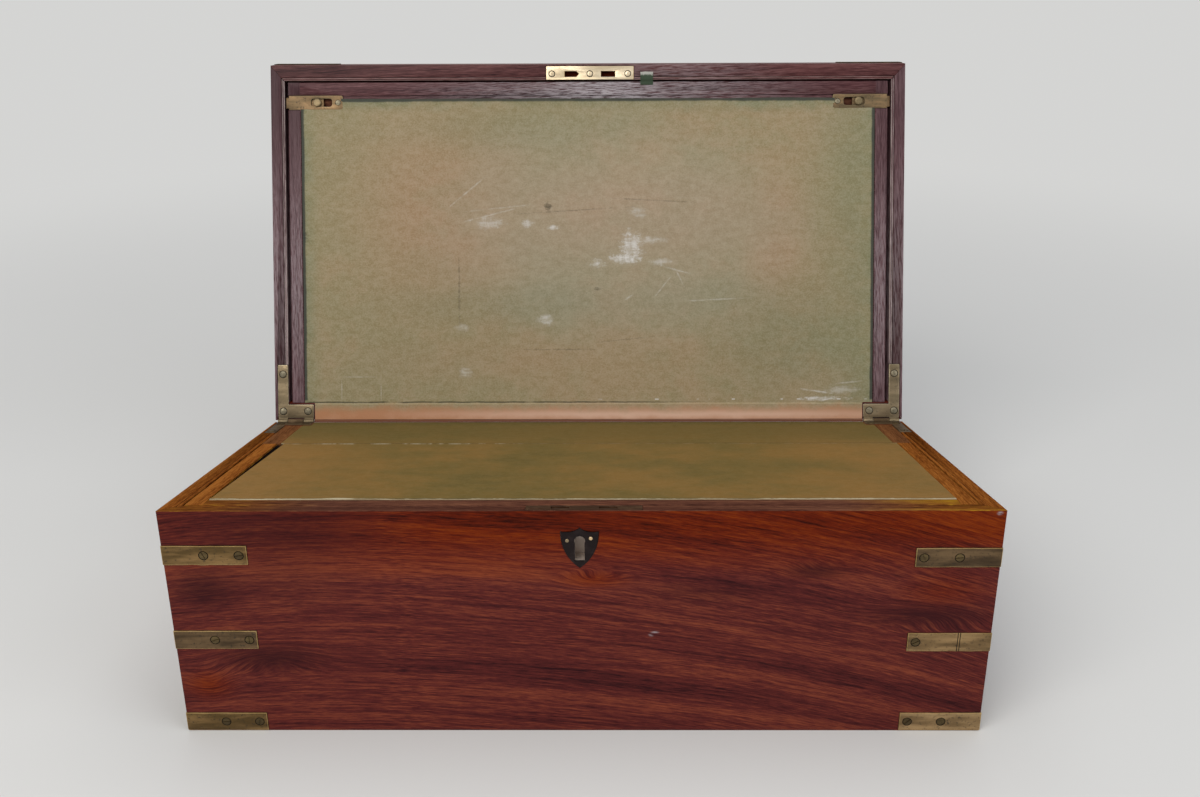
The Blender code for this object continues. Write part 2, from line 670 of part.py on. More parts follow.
def lock(base: Frame, slope: Frame, lid: Frame, lid_slope: Frame, base_walls, lid_walls, linings_front):
    """Strike plate, selvedge plate, lock case and the double hook bolt. Returns the case."""
    inset = PLATE_LENGTH / 2 - PLATE_SCREW_INSET
    ends = [LOCK_CENTRE - inset, LOCK_CENTRE + inset]
    base_lining, lid_lining = linings_front
    rim_plate("lock_selvedge", slope, -1, ends, LOCK_STEEL, base_walls["front"], base_lining)
    strike = ends + [LOCK_CENTRE]
    rim_plate("strike_plate", lid_slope, 1, strike, BRIGHT_BRASS, lid_walls["front"], lid_lining)

    hook_y = FRONT_Y + HOOK_DEPTH
    rim_z = level(hook_y, 0)
    lean = SLOT_WIDTH / 2 - FIT
    for number, x in enumerate(slot_centres()):
        low = (x - SLOT_LENGTH / 2 - FIT, hook_y - lean, rim_z)
        high = (x + SLOT_LENGTH / 2 + FIT, hook_y + lean, rim_z + HOOK_TRAVEL + HOOK_BEAK_HEIGHT)
        cut(mesh_object(f"hook_mortise_{number}", box(low, high), lid), lid_walls["front"], lid_lining)
        well = (low[0], low[1], rim_z - BOLT_DROP), (high[0], high[1], rim_z)
        cut(mesh_object(f"hook_way_{number}", box(*well), base), base_walls["front"], base_lining)

    case_front = FRONT_Y + CASE_FRONT
    case_back = LOCK_BACK_Y
    case_top = level(case_back, -HALF_GAP - PLATE_THICKNESS - FIT)
    left = LOCK_CENTRE - CASE_LENGTH / 2
    right = LOCK_CENTRE + CASE_LENGTH / 2
    corners = (left, case_front, case_top - CASE_HEIGHT), (right, case_back, case_top)
    case = mesh_object("lock_case", box(*corners), base, LOCK_STEEL)
    low = tuple(value - FIT for value in corners[0])
    pocket = box(low, (right + FIT, case_back + FIT, case_top + CUT_MARGIN))
    cut(mesh_object("lock_mortise", pocket, base), base_walls["front"], base_lining)

    half = SLOT_SPACING / 2 + HOOK_POST / 2 + HOOK_BEAK
    bar_top = rim_z - BOLT_DROP
    bar_low = bar_top - BOLT_BAR
    thick = HOOK_THICKNESS / 2
    room = box(
        (LOCK_CENTRE - half - FIT, hook_y - thick - FIT, bar_low - FIT),
        (LOCK_CENTRE + half + FIT, hook_y + thick + FIT, case_top + CUT_MARGIN),
    )
    cut(mesh_object("bolt_room", room, base), case)
    tip = level(hook_y, -HALF_GAP) - HOOK_DROP
    beak = tip - HOOK_BEAK_HEIGHT
    outline = [(LOCK_CENTRE - half, bar_low), (LOCK_CENTRE + half, bar_low), (LOCK_CENTRE + half, bar_top)]
    for x in reversed(slot_centres()):
        right, left = x + HOOK_POST / 2, x - HOOK_POST / 2
        outline += [(right, bar_top), (right, tip), (left - HOOK_BEAK, tip), (left - HOOK_BEAK, beak)]
        outline += [(left, beak), (left, bar_top)]
    outline += [(LOCK_CENTRE - half, bar_top)]
    form = prism(outline, lambda x, z, end: (x, hook_y + end * thick, z))
    mesh_object("lock_bolt", form, base, LOCK_STEEL)
    return case


def bend(start: tuple, pull: tuple, end: tuple) -> list[tuple[float, float]]:
    """Points of a quadratic curve, without its end."""
    points = []
    for i in range(ARC_STEPS):
        t = i / ARC_STEPS
        weights = (1 - t) ** 2, 2 * t * (1 - t), t * t
        points.append(tuple(sum(w * p[k] for w, p in zip(weights, (start, pull, end))) for k in (0, 1)))
    return points


def shield(grow: float) -> list[tuple[float, float]]:
    """Outline of the escutcheon: a pointed top between two ears, and sides drawn to a point."""
    half = ESCUTCHEON_WIDTH / 2 + grow
    peak = FRONT_HEIGHT - ESCUTCHEON_PEAK_DROP + grow
    ear = peak - ESCUTCHEON_SHOULDER
    point = peak - ESCUTCHEON_HEIGHT - 2 * grow
    dip = ear - ESCUTCHEON_DIP
    side = ear - ESCUTCHEON_BELLY
    right = bend((0, peak), (half / 3, dip), (half, ear)) + bend((half, ear), (half, side), (0, point))
    left = [(-x, z) for x, z in reversed(right[1:])]
    return [(x + ESCUTCHEON_CENTRE, z) for x, z in right + [(0, point)] + left]


def keyhole() -> list[tuple[float, float]]:
    """Outline of the keyhole: a round head over a slot."""
    z = FRONT_HEIGHT - KEYHOLE_DROP
    half = KEYHOLE_SLOT / 2
    start = -math.acos(half / KEYHOLE_RADIUS)
    sweep = math.pi - 2 * start
    turns = [start + sweep * i / ARC_STEPS for i in range(ARC_STEPS + 1)]
    head = [(KEYHOLE_RADIUS * math.cos(a), z + KEYHOLE_RADIUS * math.sin(a)) for a in turns]
    foot = z - KEYHOLE_LENGTH
    return [(x + ESCUTCHEON_CENTRE, height) for x, height in [(-half, foot), (half, foot)] + head]


def escutcheon(base: Frame, front: bpy.types.Object, case: bpy.types.Object) -> None:
    """The dark shield let into the front board, and the keyhole from there into the lock case."""

    def layer(near: float, far: float) -> Callable:
        return lambda x, z, end: (x, FRONT_Y + (far if end > 0 else near), z)

    back = ESCUTCHEON_THICKNESS - ESCUTCHEON_PROUD
    form = prism(shield(0), layer(-ESCUTCHEON_PROUD, back))
    plate = mesh_object("escutcheon", form, base, BLACK_IRON)
    cut(mesh_object("escutcheon_recess", prism(shield(FIT), layer(-CUT_MARGIN, back + FIT)), base), front)
    through = prism(keyhole(), layer(-CUT_MARGIN, KEYHOLE_DEPTH))
    cut(mesh_object("keyhole", through, base), plate, front, case)


def catch(side: str, sx: int, home: Frame, front: float, half: float, board, leather, wall, lining) -> None:
    """One slide catch on the lid flap: plate, and the bolt whose knob slides in its window."""
    outer = half - CATCH_EDGE
    far = front - CATCH_DROP
    near = far - CATCH_WIDTH
    middle = (near + far) / 2
    top = LID_FACE - CATCH_PROUD
    under = top + CATCH_THICKNESS

    def across(start: float, end: float, width: float) -> list[tuple[float, float]]:
        left, right = sorted((sx * (outer - start), sx * (outer - end)))
        return rectangle(left, right, middle - width / 2, middle + width / 2)

    form = prism(across(0, CATCH_LENGTH, CATCH_WIDTH), slab(top, under))
    plate = mesh_object(f"catch_plate_{side}", form, home, AGED_BRASS)
    over = LID_FACE - CUT_MARGIN
    wide = across(-CUT_MARGIN, CATCH_LENGTH + FIT, CATCH_WIDTH + 2 * FIT)
    recess = mesh_object(f"catch_recess_{side}", prism(wide, slab(over, under + FIT)), home)
    cut(recess, board, leather)
    window = across(
        CATCH_KNOB - CATCH_THROW - CATCH_NECK - FIT, CATCH_KNOB + CATCH_DRAW + CATCH_NECK + FIT,
        CATCH_WINDOW_WIDTH,
    )
    cut(mesh_object(f"catch_window_{side}", prism(window, slab(over, under + FIT)), home), plate)

    bar_top = under + FIT
    bar_low = bar_top + CATCH_BAR
    screw = (sx * (outer - CATCH_LENGTH + CATCH_SCREW_INSET), -middle, top), (0, 0, -1)
    screw_down(plate, home, [screw], board)
    channel_end = CATCH_BAR_TAIL + CATCH_DRAW + FIT
    channel = across(-CUT_MARGIN, channel_end, CATCH_BAR_WIDTH + 2 * FIT)
    cut(mesh_object(f"catch_channel_{side}", prism(channel, slab(over, bar_low + FIT)), home), board)
    tip = -(WELL_HALF - outer - CATCH_TIP_GAP)
    bolt_form = prism(across(tip, CATCH_BAR_TAIL, CATCH_BAR_WIDTH), slab(bar_top, bar_low))
    bolt = mesh_object(f"catch_bolt_{side}", bolt_form, home, AGED_BRASS)
    head = LID_FACE - CATCH_PROUD - FIT
    profile = [(0, CATCH_KNOB_HEIGHT), (CATCH_KNOB_CROWN, CATCH_KNOB_HEIGHT)]
    profile += [(CATCH_KNOB_RADIUS, CATCH_KNOB_HEIGHT / 2), (CATCH_KNOB_RADIUS, 0), (CATCH_NECK, 0)]
    foot = head - bar_top - CATCH_BAR / 2
    profile += [(CATCH_NECK, foot), (0, foot)]
    spot = (sx * (outer - CATCH_KNOB), -middle, head), (0, 0, -1)
    boolean(bolt, scatter(f"catch_knob_{side}", profile, [spot], home), "UNION")
    reach = -(WELL_HALF - outer + BEAD + FIT + CATCH_THROW)
    socket = across(reach, tip, CATCH_BAR_WIDTH + 2 * FIT)
    mortise = prism(socket, slab(bar_top - FIT, bar_low + FIT))
    cut(mesh_object(f"catch_mortise_{side}", mortise, home), wall, lining)


def pull_tab(home: Frame, front: float) -> None:
    """The small tab glued to the lid flap, which lies over the edge of the rim."""
    flap_level = LID_FACE - FIT
    rim_level = HALF_GAP - FIT
    start = front - TAB_LAP
    bead = along(BEAD_Y, 0)
    end = bead + TAB_OVER_RIM
    upper = [(start, flap_level), (front, flap_level), (bead, rim_level), (end, rim_level)]
    outline = upper + [(d, n - TAB_THICKNESS) for d, n in reversed(upper)]

    def place(distance, offset, side):
        return TAB_CENTRE + side * TAB_WIDTH / 2, -distance, offset
    mesh_object("lid_flap_pull_tab", prism(outline, place), home, GREEN_RIBBON)


def compartments(base: Frame) -> None:
    """Ink shelf, partition, well dividers and pen tray, under the base flap."""
    half = HALF_WIDTH - SIDE_WALL - FIT
    front = FRONT_Y + FRONT_WALL + FIT
    back = front + TROUGH_DEPTH
    floor = SHELF_HEIGHT + SHELF_THICKNESS
    drop = -(BASE_LEDGE + LEDGE_THICKNESS * math.cos(SLOPE) + FIT)
    shelf = box((-half, front, SHELF_HEIGHT), (half, back + PARTITION, floor))
    mesh_object("ink_shelf", shelf, base, INNER_WOOD)

    def upright(x_low: float, x_high: float, y_low: float, y_high: float) -> bmesh.types.BMesh:
        def place(sx, sy, sz):
            y = y_high if sy > 0 else y_low
            return (x_high if sx > 0 else x_low), y, (level(y, drop) if sz > 0 else floor + FIT)
        return block(place)

    mesh_object("ink_partition", upright(-half, half, back, back + PARTITION), base, INNER_WOOD)
    inner = half - WELL_LENGTH
    tray_front = LOCK_BACK_Y + FIT
    for sx, side in ((-1, "left"), (1, "right")):
        low, high = sorted((sx * inner, sx * (inner - PARTITION)))
        form = upright(low, high, tray_front, back - FIT)
        mesh_object(f"well_divider_{side}", form, base, INNER_WOOD)
    length = inner - PARTITION - FIT
    middle = (tray_front + back) / 2
    low, top = floor + FIT, floor + FIT + PEN_TRAY_HEIGHT
    turns = [math.pi * i / ARC_STEPS for i in range(ARC_STEPS + 1)]
    groove = [
        (middle - PEN_GROOVE / 2 * math.cos(a), top - PEN_GROOVE_DEPTH * math.sin(a)) for a in turns
    ]
    profile = [(back - FIT, top), (back - FIT, low), (tray_front, low), (tray_front, top)] + groove
    tray = prism(profile, lambda y, z, end: (end * length, y, z))
    mesh_object("pen_tray", tray, base, INNER_WOOD)


def main() -> None:
    base = frame("base_frame", Vector())
    slope = frame("base_slope", Vector(), -SLOPE, base, AXIS)
    lid = frame("lid_pivot", AXIS, -LID_OPEN)
    lid_slope = frame("lid_slope", Vector(), -SLOPE, lid)

    base_walls = walls("base", base, lambda y: 0, lambda y: level(y, -HALF_GAP))
    lid_walls = walls("lid", lid, lambda y: level(y, HALF_GAP), lambda y: CLOSED_HEIGHT)
    panel("base_bottom_board", base, 0, BOTTOM_BOARD)
    panel("lid_top_board", lid, CLOSED_HEIGHT - TOP_BOARD, CLOSED_HEIGHT)
    base_lining = linings("base", base, -1, BASE_LEDGE)
    lid_lining = linings("lid", lid, 1, LID_LEDGE)
    compartments(base)

    straps(base, lid, base_walls, lid_walls)
    hinges(slope, lid_slope, base_walls, lid_walls, base_lining, lid_lining)
    hinge_rails(slope, lid_slope, base_walls, lid_walls)
    fronts = base_lining["front"], lid_lining["front"]
    case = lock(base, slope, lid, lid_slope, base_walls, lid_walls, fronts)
    escutcheon(base, base_walls["front"], case)

    base_flap = frame("base_flap_pivot", Vector((0, -BASE_SEAM, BASE_FACE)), 0, slope)
    front = along(BEAD_Y, BASE_FACE) - BASE_FLAP_FRONT_GAP
    half = WELL_HALF - BASE_FLAP_SIDE_GAP
    margins = BASE_MARGIN, BASE_FRONT_MARGIN
    flap("base_flap", base_flap, -1, half, lambda offset: BASE_SEAM + FIT / 2, front, margins)

    lid_seam = along(BACK_INNER_Y, LID_FACE) + FIT
    lid_flap = frame("lid_flap_pivot", Vector((0, -lid_seam, LID_FACE)), 0, lid_slope)
    front = along(BEAD_Y, LID_FACE) - LID_FLAP_FRONT_GAP
    half = WELL_HALF - LID_FLAP_SIDE_GAP
    margins = LID_MARGIN, LID_FRONT_MARGIN

    def lid_hinge_edge(offset: float) -> float:
        return along(BACK_INNER_Y, offset) + FIT + FIT / 2

    board, leather = flap("lid_flap", lid_flap, 1, half, lid_hinge_edge, front, margins)
    for sx, side in ((-1, "left"), (1, "right")):
        catch(side, sx, lid_flap, front, half, board, leather, lid_walls[side], lid_lining[side])
    pull_tab(lid_flap, front)

    for piece in PARTS.objects:
        if piece.modifiers:
            piece.modifiers.new("corner_weld", "WELD").merge_threshold = WELD


main()
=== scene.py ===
"""Ship's writing box, open: boards, leathers, brass and lock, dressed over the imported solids."""
import json
import logging
import math
from dataclasses import dataclass
from enum import Enum
from typing import Any, Callable, Iterable, Optional

import bmesh
import bpy
from mathutils import Matrix, Vector, noise
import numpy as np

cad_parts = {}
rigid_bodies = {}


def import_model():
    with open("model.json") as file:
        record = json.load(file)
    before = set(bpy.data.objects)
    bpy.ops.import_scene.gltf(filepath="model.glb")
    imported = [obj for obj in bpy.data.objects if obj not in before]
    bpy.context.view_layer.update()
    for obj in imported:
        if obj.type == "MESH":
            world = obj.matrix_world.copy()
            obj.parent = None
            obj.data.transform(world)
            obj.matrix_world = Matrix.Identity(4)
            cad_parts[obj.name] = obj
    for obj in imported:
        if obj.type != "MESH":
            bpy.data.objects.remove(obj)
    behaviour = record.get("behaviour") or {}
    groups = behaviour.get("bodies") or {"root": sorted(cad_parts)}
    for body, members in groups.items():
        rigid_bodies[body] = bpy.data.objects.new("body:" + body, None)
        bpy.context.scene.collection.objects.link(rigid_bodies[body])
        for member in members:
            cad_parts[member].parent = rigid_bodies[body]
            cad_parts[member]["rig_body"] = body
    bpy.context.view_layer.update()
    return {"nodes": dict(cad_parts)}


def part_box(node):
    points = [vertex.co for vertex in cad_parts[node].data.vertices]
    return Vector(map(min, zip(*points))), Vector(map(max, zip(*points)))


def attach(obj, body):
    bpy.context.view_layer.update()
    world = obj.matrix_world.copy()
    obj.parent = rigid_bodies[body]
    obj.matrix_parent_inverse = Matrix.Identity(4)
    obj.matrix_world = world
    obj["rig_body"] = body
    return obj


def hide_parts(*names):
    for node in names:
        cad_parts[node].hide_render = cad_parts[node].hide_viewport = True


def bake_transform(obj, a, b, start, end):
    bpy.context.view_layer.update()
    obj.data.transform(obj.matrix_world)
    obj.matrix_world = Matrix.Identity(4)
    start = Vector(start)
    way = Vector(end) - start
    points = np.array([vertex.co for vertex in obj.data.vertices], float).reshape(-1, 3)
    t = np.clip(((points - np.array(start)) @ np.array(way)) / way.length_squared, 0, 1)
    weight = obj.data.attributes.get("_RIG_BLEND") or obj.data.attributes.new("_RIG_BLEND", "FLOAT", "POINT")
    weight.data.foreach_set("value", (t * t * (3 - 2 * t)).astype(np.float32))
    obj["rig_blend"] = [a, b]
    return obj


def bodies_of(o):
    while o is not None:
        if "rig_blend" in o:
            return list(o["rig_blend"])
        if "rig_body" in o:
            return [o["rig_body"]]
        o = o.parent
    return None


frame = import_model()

LOG = logging.getLogger("writing_box")

Colour = tuple[float, float, float]
Piece = bpy.types.Object
Material = bpy.types.Material
Edge = bmesh.types.BMEdge
Face = bmesh.types.BMFace
Test = Callable[[Any], bool]
Spot = tuple[Vector, Vector, float]

# Slots on a piece: body, rim or worn edges, details (among them recesses painted dark as shade), a leather's
# bed (painted dark as shade on the base), eased edges, undersides
BODY, WORN, DETAIL, FLOOR, EDGE, HOLLOW = range(6)
# The two ends of the box, with the sign of x
SIDES = ((-1, "left"), (1, "right"))
# Axes that a piece is sliced along
X, Y = 0, 1
UP = Vector((0, 0, 1))
QUARTER = math.pi / 2
# Distance that counts as touching, reach of a cutter past a plate, least turn at a plate's rim
TOUCH, CLEAR, RIM_TURN = 0.00001, 0.01, 0.7


def faces_towards(direction: Vector, least: float = 0.99) -> Test:
    """A test for faces that look in a direction."""
    return lambda face: face.normal.dot(direction) > least


def edges_above(height: float) -> Test:
    """A test for edges that lie above a height."""
    return lambda edge: all(point.co.z > height for point in edge.verts)


def edges_taller(height: float) -> Test:
    """A test for edges that rise by more than a height."""
    return lambda edge: abs(edge.verts[0].co.z - edge.verts[1].co.z) > height


def edges_sharper(turn: float) -> Test:
    """A test for edges whose faces turn by more than an angle."""
    return lambda edge: edge.calc_face_angle() > turn


def both(first: Test, second: Test) -> Test:
    """A test for parts that meet two tests."""
    return lambda part: first(part) and second(part)


def rim_edges(top: float) -> Test:
    """A test for the outer edges of a plate's upper face."""
    return both(edges_above(top - TOUCH), edges_sharper(RIM_TURN))


def middle_of(edge: Edge) -> Vector:
    """The middle of an edge."""
    return (edge.verts[0].co + edge.verts[1].co) / 2


def spread(start: float, length: float, count: int) -> list[float]:
    """The places between a count of equal steps along a length."""
    return [start + length * step / count for step in range(1, count)]


@dataclass(frozen=True)
class BoxSizes:
    """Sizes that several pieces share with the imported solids, in metres."""

    half_width: float = 0.254
    half_depth: float = 0.1385
    front_height: float = 0.160
    hinge_y: float = 0.1395
    hinge_height: float = 0.094
    lid_open: float = math.radians(96.8)
    half_gap: float = 0.0004

    @property
    def axis(self) -> Vector:
        """A point on the hinge line."""
        return Vector((0, self.hinge_y, self.hinge_height))

    @property
    def slope(self) -> float:
        """How far the hinge plane of the base is tilted."""
        return math.atan2(self.front_height - self.hinge_height, self.half_depth + self.hinge_y)

    @property
    def raised(self) -> Matrix:
        """Takes a place on the closed lid to where the open lid has it."""
        turn = Matrix.Rotation(-self.lid_open, 4, "X")
        return Matrix.Translation(self.axis) @ turn @ Matrix.Translation(-self.axis)


BOX = BoxSizes()


@dataclass(frozen=True)
class Slope:
    """One of the two sloping faces: x, the distance from the hinge line, and height above it."""

    home: str
    turn: float
    # 1 where the face looks up from the hinge plane, and -1 on the lid
    up: int
    # Distances of its leather's crease and of its far edge
    seam: float
    end: float

    @property
    def matrix(self) -> Matrix:
        """Lays flat work, with y as minus the distance and z as height, on the slope."""
        flip = Matrix.Diagonal((1, 1, self.up, 1))
        return Matrix.Translation(BOX.axis) @ Matrix.Rotation(-self.turn, 4, "X") @ flip

    @property
    def upwards(self) -> Vector:
        """The direction that the face looks in."""
        return self.matrix.to_3x3() @ UP

    def point(self, x: float, distance: float, height: float = 0.0) -> Vector:
        """A place on the slope, in the box's frame."""
        return self.matrix @ Vector((x, -distance, height))


BASE_SLOPE = Slope("base", BOX.slope, 1, 0.0860, 0.2577)
LID_SLOPE = Slope("lid", BOX.slope + BOX.lid_open, -1, 0.0148, 0.2592)


class Value:
    """A socket of a finish, with the arithmetic that adds Math nodes."""

    def __init__(self, tree: "Tree", socket: bpy.types.NodeSocket) -> None:
        """Keeps the tree that the socket belongs to."""
        self.tree = tree
        self.socket = socket

    def _math(self, operation: str, other: Any = 0.0, swapped: bool = False) -> "Value":
        """Adds one Math node to this value and another."""
        first, second = (other, self) if swapped else (self, other)
        return self.tree.node("ShaderNodeMath", {"operation": operation}, {0: first, 1: second})

    def __add__(self, other: Any) -> "Value":
        """Sum."""
        return self._math("ADD", other)

    __radd__ = __add__

    def __sub__(self, other: Any) -> "Value":
        """Difference."""
        return self._math("SUBTRACT", other)

    def __rsub__(self, other: Any) -> "Value":
        """Difference with this value taken away."""
        return self._math("SUBTRACT", other, True)

    def __mul__(self, other: Any) -> "Value":
        """Product."""
        return self._math("MULTIPLY", other)

    __rmul__ = __mul__

    def __pow__(self, other: Any) -> "Value":
        """Power."""
        return self._math("POWER", other)

    def __abs__(self) -> "Value":
        """Size without sign."""
        return self._math("ABSOLUTE")

    def sine(self) -> "Value":
        """Sine of the value in radians."""
        return self._math("SINE")

    def most(self, other: Any) -> "Value":
        """The larger of two values."""
        return self._math("MAXIMUM", other)

    def swing(self, size: float) -> "Value":
        """A noise's swing to both sides of its middle, brought to a size."""
        return (self - 0.5) * size

    def ease(self, low: float, high: float) -> "Value":
        """A smooth step from 0 at low to 1 at high; low may be the larger."""
        inputs = {0: self, 1: low, 2: high, 3: 0.0, 4: 1.0}
        return self.tree.node("ShaderNodeMapRange", {"interpolation_type": "SMOOTHSTEP"}, inputs)


class Tree:
    """The node tree of one finish, round its Principled shader."""

    def __init__(self, name: str) -> None:
        """Starts a material with a Principled shader.

        Args:
            name: The material's name.
        """
        self.material = bpy.data.materials.new(name)
        self.material.use_nodes = True
        self.nodes = self.material.node_tree.nodes
        self.links = self.material.node_tree.links
        self.shader = next(item for item in self.nodes if item.type == "BSDF_PRINCIPLED")

    def node(
        self, kind: str, settings: Optional[dict] = None, inputs: Optional[dict] = None, output: Any = 0
    ) -> Value:
        """Adds one node.

        Args:
            kind: The node's type.
            settings: What is set on the node first; stops are a ramp's places and colours.
            inputs: Values or links for its sockets.
            output: The socket that is returned, by number or name.

        Returns:
            The chosen output.
        """
        made = self.nodes.new(kind)
        for name, value in (settings or {}).items():
            if name == "stops":
                self._stops(made.color_ramp, value)
            else:
                setattr(made, name, value)
        for key, value in (inputs or {}).items():
            self.feed(made.inputs[key], value)
        return Value(self, made.outputs[output])

    @staticmethod
    def _stops(ramp: bpy.types.ColorRamp, stops: list[tuple[float, Colour]]) -> None:
        """Sets a ramp's stops.

        Args:
            ramp: The ramp, which starts with two.
            stops: Place and colour of each.
        """
        for place, _ in stops[2:]:
            ramp.elements.new(place)
        for element, (place, colour) in zip(ramp.elements, stops):
            element.position = place
            element.color = (*colour, 1.0)

    def feed(self, socket: bpy.types.NodeSocket, value: Any) -> None:
        """Links a value to a socket, or sets the socket.

        Args:
            socket: The socket.
            value: A linked value, a number, a colour or a vector.
        """
        if isinstance(value, Value):
            self.links.new(value.socket, socket)
        elif socket.type == "RGBA" and len(value) == 3:
            socket.default_value = (*value, 1.0)
        else:
            socket.default_value = value

    def surface(self, **sockets: Any) -> None:
        """Sets or links the shader's sockets, named with underscores for spaces."""
        for name, value in sockets.items():
            self.feed(self.shader.inputs[name.replace("_", " ")], value)

    def place(self, rotation: tuple = (0, 0, 0), location: tuple = (0, 0, 0)) -> Value:
        """Object coordinates, turned and then moved."""
        inputs = {0: self.node("ShaderNodeTexCoord", output="Object"), 1: location, 2: rotation}
        return self.node("ShaderNodeMapping", {"vector_type": "POINT"}, inputs)

    def on_slope(self, slope: Slope) -> Value:
        """Coordinates on a slope: x, minus the distance, and the offset."""
        moved = Matrix.Rotation(slope.turn, 3, "X") @ BOX.axis
        return self.place((slope.turn, 0, 0), tuple(-moved))

    def split(self, vector: Value) -> tuple[Value, Value, Value]:
        """The three parts of a vector."""
        parts = self.node("ShaderNodeSeparateXYZ", {}, {0: vector}).socket.node.outputs
        return tuple(Value(self, part) for part in parts)

    def gather(self, x: Any, y: Any, z: Any) -> Value:
        """A vector of three parts."""
        return self.node("ShaderNodeCombineXYZ", {}, {0: x, 1: y, 2: z})

    def noise(
        self, vector: Value, scale: tuple, detail: float = 2.0, rough: float = 0.5, bend: float = 0.0
    ) -> Value:
        """Noise about 0.5.

        Args:
            vector: Where it is read.
            scale: Repeats for each metre, on each axis.
            detail: How many finer layers it has.
            rough: How strong those are.
            bend: How far it is twisted.

        Returns:
            The noise.
        """
        wide = self.node("ShaderNodeVectorMath", {"operation": "MULTIPLY"}, {0: vector, 1: scale})
        inputs = {"Vector": wide, "Scale": 1.0, "Detail": detail, "Roughness": rough, "Distortion": bend}
        return self.node("ShaderNodeTexNoise", {}, inputs)

    def cells(self, vector: Value, scale: float) -> Value:
        """Distances in a pattern of cells."""
        return self.node("ShaderNodeTexVoronoi", {"feature": "F1"}, {"Vector": vector, "Scale": scale})

    def ramp(self, value: Value, stops: list[tuple[float, Colour]]) -> Value:
        """A colour for each value."""
        return self.node("ShaderNodeValToRGB", {"stops": stops}, {0: value})

    def mix(self, amount: Any, first: Any, second: Any) -> Value:
        """Two colours mixed."""
        settings = {"data_type": "RGBA", "blend_type": "MIX"}
        return self.node("ShaderNodeMix", settings, {0: amount, 6: first, 7: second}, 2)

    def bump(self, height: Value, strength: float, depth: float) -> None:
        """Raises the surface by a height."""
        inputs = {"Strength": strength, "Distance": depth, "Height": height}
        self.surface(Normal=self.node("ShaderNodeBump", {}, inputs))


class Grain(Enum):
    """How a board's grain lies: the turn that brings it along x and its face upright."""

    BASE_LONG = (0.0, 0.0, 0.0)
    BASE_SIDE = (0.0, 0.0, -QUARTER)
    LID_LONG = (BOX.lid_open, 0.0, 0.0)
    LID_SIDE = (BOX.lid_open, 0.0, -QUARTER)
    BASE_FLAT = (QUARTER + BOX.slope, 0.0, 0.0)
    LID_FLAT = (QUARTER + BOX.slope + BOX.lid_open, 0.0, 0.0)
    BASE_SIDE_FLAT = (QUARTER + BOX.slope, QUARTER, 0.0)
    LID_SIDE_FLAT = (QUARTER + BOX.slope + BOX.lid_open, QUARTER, 0.0)


@dataclass(frozen=True)
class Patch:
    """A patch in a wood's figure or of painted sheen and shade on a wood, with y as its height, or on a
    leather, with y as its distance.
    """

    x: float
    y: float
    length: float
    reach: float
    pale: float = 0.0
    dark: float = 0.0
    ruddy: float = 0.0
    swirl: float = 0.0
    turn: float = 0.0

    def away(self, x: Value, y: Value) -> Value:
        """How far off a place is.

        Args:
            x: The place along the box.
            y: Its height or distance.

        Returns:
            The square of how far it is, with 1 at the edge of the patch.
        """
        across, along = x - self.x, y - self.y
        if self.turn:
            sine, cosine = math.sin(self.turn), math.cos(self.turn)
            across, along = across * cosine + along * sine, along * cosine - across * sine
        across, along = across * (1.0 / self.length), along * (1.0 / self.reach)
        return across * across + along * along


